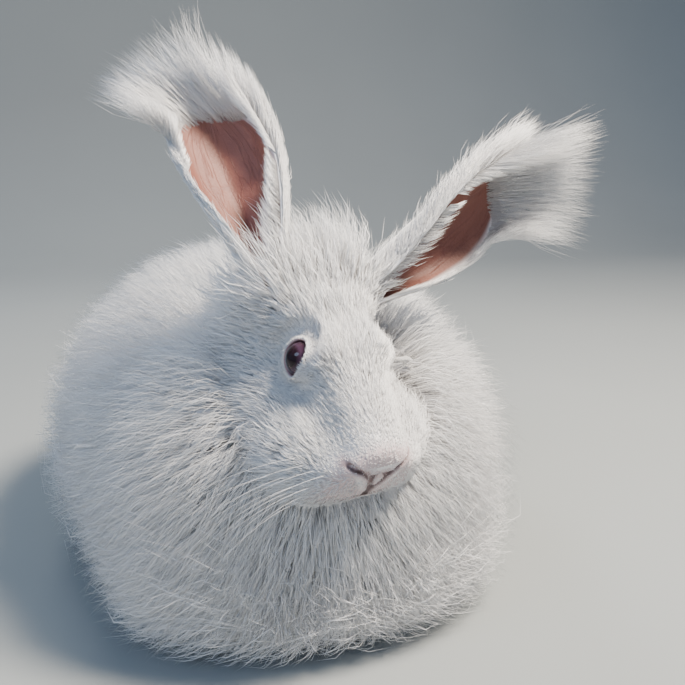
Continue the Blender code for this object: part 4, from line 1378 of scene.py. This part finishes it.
# %% Cheek wisps
WISPS = 750
chance = np.random.default_rng(260)
found = []
for side in SIDES:
    places = chance.uniform(0.28, 0.54, WISPS)
    roots = head_surface(places, side * chance.uniform(88, 128, WISPS))
    normals = np.tile(head_direction(side * 0.95, 0.0, -0.3), (WISPS, 1))
    lies = np.tile(head_direction(side * 0.30, -0.55, -0.80), (WISPS, 1))
    length = chance.uniform(0.024, 0.042, WISPS)
    heights, reaches = length * 0.42, length * 0.9
    found.append(hair_paths(roots, unit(normals), lies, heights, reaches, LONG_STEPS, 261, 0.12, 0.6, 20))
paths = np.concatenate(found)
widths = chance.uniform(0.00024, 0.00040, len(paths))
coat_pieces("cheek_wisps", paths, unwrap_of(paths[:, 0], "face_skin"), widths, chance, wool_finish)

# %% [markdown]
# ## Hair of the ears
#
# The ears of this breed end in long tufts. Their backs and edges carry shorter hair that lies towards the
# tip, fuller on the inner edge, and a fringe falls over the foot of the hollow, which is bare. The roots
# are placed by their share along and across the leaf, and each hair takes its place in the unwrap from
# the nearest point of the skin.


# %% Tufts, edges, backs and fringes
# For each ear: where its end tuft is drawn, how long that is, and how far the fringe leans over the hollow
EAR_END_LIFT = {-1: (-0.58, -0.10, -0.14), 1: (0.26, 0.08, -0.14)}
EAR_END_LONG = {-1: 0.042, 1: 0.053}
FRINGE_LEAN = {-1: 0.15, 1: -0.35}
EAR_END_FAN = 0.50


def ear_hairs(side, word):
    chance = np.random.default_rng(60 + side)
    root, run, facing, across = ear_frame(side)
    lift = head_direction(*EAR_END_LIFT[side])
    inner = -side
    groups = []

    def outward(places, shares):
        return unit(ear_point(side, places, shares, 0.01) - ear_point(side, places, shares, 0.0))

    def group(places, shares, reach, ways, normals, length, stand, curl, clump, steps=BENT_STEPS):
        roots = ear_point(side, places, shares, reach + 0 * places)
        length = length * chance.uniform(0.72, 1.12, len(places))
        groups.append((roots, ways, unit(normals), length, stand, curl, clump, steps))

    places = 1 - 0.40 * chance.random(2300) ** 1.9
    upper = smooth_step(0.66, 0.95, places)
    from_edge = chance.random(len(places)) * (0.06 + smooth_step(0.84, 0.95, places))
    shares = np.where(chance.random(len(places)) < 0.5, -1, 1) * (1 - np.minimum(from_edge, 1))
    fan = 0.15 + EAR_END_FAN * upper[:, None]
    ways = run + across * fan * shares[:, None] + lift * upper[:, None]
    long = 0.009 + EAR_END_LONG[side] * upper
    behind = outward(places, shares) + run
    group(places, shares, -EAR_THICK * 0.4, ways, behind, long, 0.12, 0.06, 0.45, LONG_STEPS)

    places = chance.uniform(0.02, 0.99, 1900)
    shares = inner * chance.uniform(0.90, 1.0, len(places))
    upper = smooth_step(0.5, 1.0, places)
    ways = run * 0.75 + across * (0.75 * inner) * (1 - 0.5 * upper[:, None]) + lift * upper[:, None]
    over_rim = facing * 0.5 + across * (0.9 * inner) + 0 * ways
    long = 0.025 + 0.016 * upper
    group(places, shares, -EAR_THICK / 2, ways, over_rim, long, 0.2, 0.1, 0.35, LONG_STEPS)

    places = chance.uniform(0.05, 0.95, 1300)
    shares = -inner * chance.uniform(0.90, 1.0, len(places))
    ways = run * 0.9 - across * (0.20 * inner) + 0 * outward(places, shares)
    over_rim = facing * 0.8 - across * (0.6 * inner) + 0 * ways
    group(places, shares, -EAR_THICK * 0.7, ways, over_rim, 0.012, 0.18, 0.1, 0.3)

    places = chance.uniform(0.0, 0.98, 2200)
    shares = chance.uniform(-0.98, 0.98, len(places))
    ways = run + across * (0.15 * shares[:, None])
    group(places, shares, -EAR_INSET, ways, outward(places, shares), 0.014, 0.25, 0.08, 0.4)

    places = 0.55 * chance.random(900) ** 1.2
    shares = inner * (1 - chance.random(len(places)) * (1 - places / 0.55))
    ways = run * 0.85 + across * (FRINGE_LEAN[side] * inner) + facing * 0.2
    long = 0.022 - 0.02 * places
    hollow = -outward(places, shares)
    group(places, shares, -EAR_THICK, ways + 0 * hollow, hollow, long, 0.3, 0.1, 0.5)

    found = {"ear_tufts_": [], "ear_fur_": []}
    for seed, (roots, ways, normals, length, stand, curl, clump, steps) in enumerate(groups, 70):
        name = "ear_tufts_" if steps is LONG_STEPS else "ear_fur_"
        heights, reaches = length * stand, length * 0.95
        paths = hair_paths(roots, normals, ways, heights, reaches, steps, seed, curl, clump, 14)
        found[name].append(paths)
    for name, steps in (("ear_tufts_", LONG_STEPS), ("ear_fur_", BENT_STEPS)):
        paths = np.concatenate(found[name])
        widths = chance.uniform(0.00024, 0.00040, len(paths))
        unwrap = unwrap_of(paths[:, 0], "ear_leather")
        coat_pieces(name + word, paths, unwrap, widths, chance, wool_finish, steps)


for side, word in ((-1, "right"), (1, "left")):
    ear_hairs(side, word)
print("coat", sum(coat_triangles), "triangles")

# %% [markdown]
# ## Whiskers
#
# Whiskers are stiff bristles in rows on the pads. They follow curves, so Geometry Nodes sweep a small
# round section along each one, thinner towards its end. The lines that they follow are worked out first,
# as edges of one mesh that also carries each whisker's place in the unwrap.

# %% The whiskers' lines
WHISKER_POINTS = 9
WHISKER_RADIUS = 0.00010
WHISKER_TIP = 0.25  # share of the radius that is left at the tip
chance = np.random.default_rng(90)
whisker_lines, whisker_roots = [], []
for side in SIDES:
    for row in range(4):
        for column in range(4):
            place = 0.07 + 0.035 * column + chance.uniform(-0.004, 0.004)
            turn = 82 + 11 * row + chance.uniform(-2, 2)
            root = head_surface([place], [side * turn])[0]
            middle = (root + head_surface([place], [-side * turn])[0]) / 2
            out = unit(root - middle) + head_direction(0, 0.25 - 0.08 * column, 0.1)
            long = chance.uniform(0.034, 0.052)
            share = np.linspace(0, 1, WHISKER_POINTS)[:, None]
            droop = head_direction(0, -0.30, -0.35 - 0.1 * row)
            whisker_lines.append(root + long * (unit(out) * share + droop * share**2))
            whisker_roots.append(root)
whisker_mesh = bpy.data.meshes.new("whiskers")
starts = np.arange(len(whisker_lines))[:, None] * WHISKER_POINTS + np.arange(WHISKER_POINTS - 1)
edges = [(int(start), int(start) + 1) for start in starts.reshape(-1)]
whisker_mesh.from_pydata(np.concatenate(whisker_lines), edges, [])
whisker_places = unwrap_of(np.array(whisker_roots), "face_skin")
for axis, name in enumerate(("root_u", "root_v")):
    store(whisker_mesh, name, np.repeat(whisker_places[:, axis], WHISKER_POINTS))
whiskers = linked(bpy.data.objects.new("whiskers", whisker_mesh))

# %% The tree that sweeps them
sweep = bpy.data.node_groups.new("sweep_whiskers", "GeometryNodeTree")
face = sweep.interface
face.new_socket("Geometry", in_out="INPUT", socket_type="NodeSocketGeometry")
thick = face.new_socket("Root radius", in_out="INPUT", socket_type="NodeSocketFloat")
tip_share = face.new_socket("Tip share", in_out="INPUT", socket_type="NodeSocketFloat")
face.new_socket("Geometry", in_out="OUTPUT", socket_type="NodeSocketGeometry")
nodes = Nodes(sweep)
given = sweep.nodes.new("NodeGroupInput")
lines_in, radius_in, tip_in = (Value(nodes, given.outputs[i]) for i in range(3))
curves = nodes.add("GeometryNodeMeshToCurve", None, {"Mesh": lines_in})
along = nodes.add("GeometryNodeSplineParameter")
ends = {"To Min": radius_in, "To Max": radius_in * tip_in}
taper = nodes.add("ShaderNodeMapRange", None, {"Value": along, **ends})
curves = nodes.add("GeometryNodeSetCurveRadius", None, {"Curve": curves, "Radius": taper})
round_section = nodes.add("GeometryNodeCurvePrimitiveCircle", None, {"Resolution": 5, "Radius": 1.0})
radius = nodes.add("GeometryNodeInputRadius")
swept = nodes.add(
    "GeometryNodeCurveToMesh",
    None,
    {"Curve": curves, "Profile Curve": round_section, "Scale": radius, "Fill Caps": True},
)
solid = nodes.add("GeometryNodeRealizeInstances", None, {"Geometry": swept})
dressed = nodes.add("GeometryNodeSetMaterial", None, {"Geometry": solid, "Material": wool_finish})
nodes.add("NodeGroupOutput", None, {"Geometry": dressed})
modifier = whiskers.modifiers.new("sweep", "NODES")
modifier.node_group = sweep
modifier[thick.identifier] = WHISKER_RADIUS
modifier[tip_share.identifier] = WHISKER_TIP
applied(whiskers)

# %% The whiskers' places in the unwrap
bristles = whiskers.data
places = np.stack([read(bristles.attributes[name].data, "value") for name in ("root_u", "root_v")], -1)
chance = np.random.default_rng(91)
places = places + (chance.random(places.shape) - 0.5) * PATCH
layer = bristles.uv_layers.new(name="OFBake")
at_corner = read(bristles.loops, "vertex_index", 1, int)
layer.data.foreach_set("uv", places[at_corner].reshape(-1))
store(bristles, "reach", np.full(len(places), 1.0))
store(bristles, "tone", np.full(len(places), 0.5))
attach(whiskers, "root")
print("whiskers", len(whiskers.data.polygons), "faces")
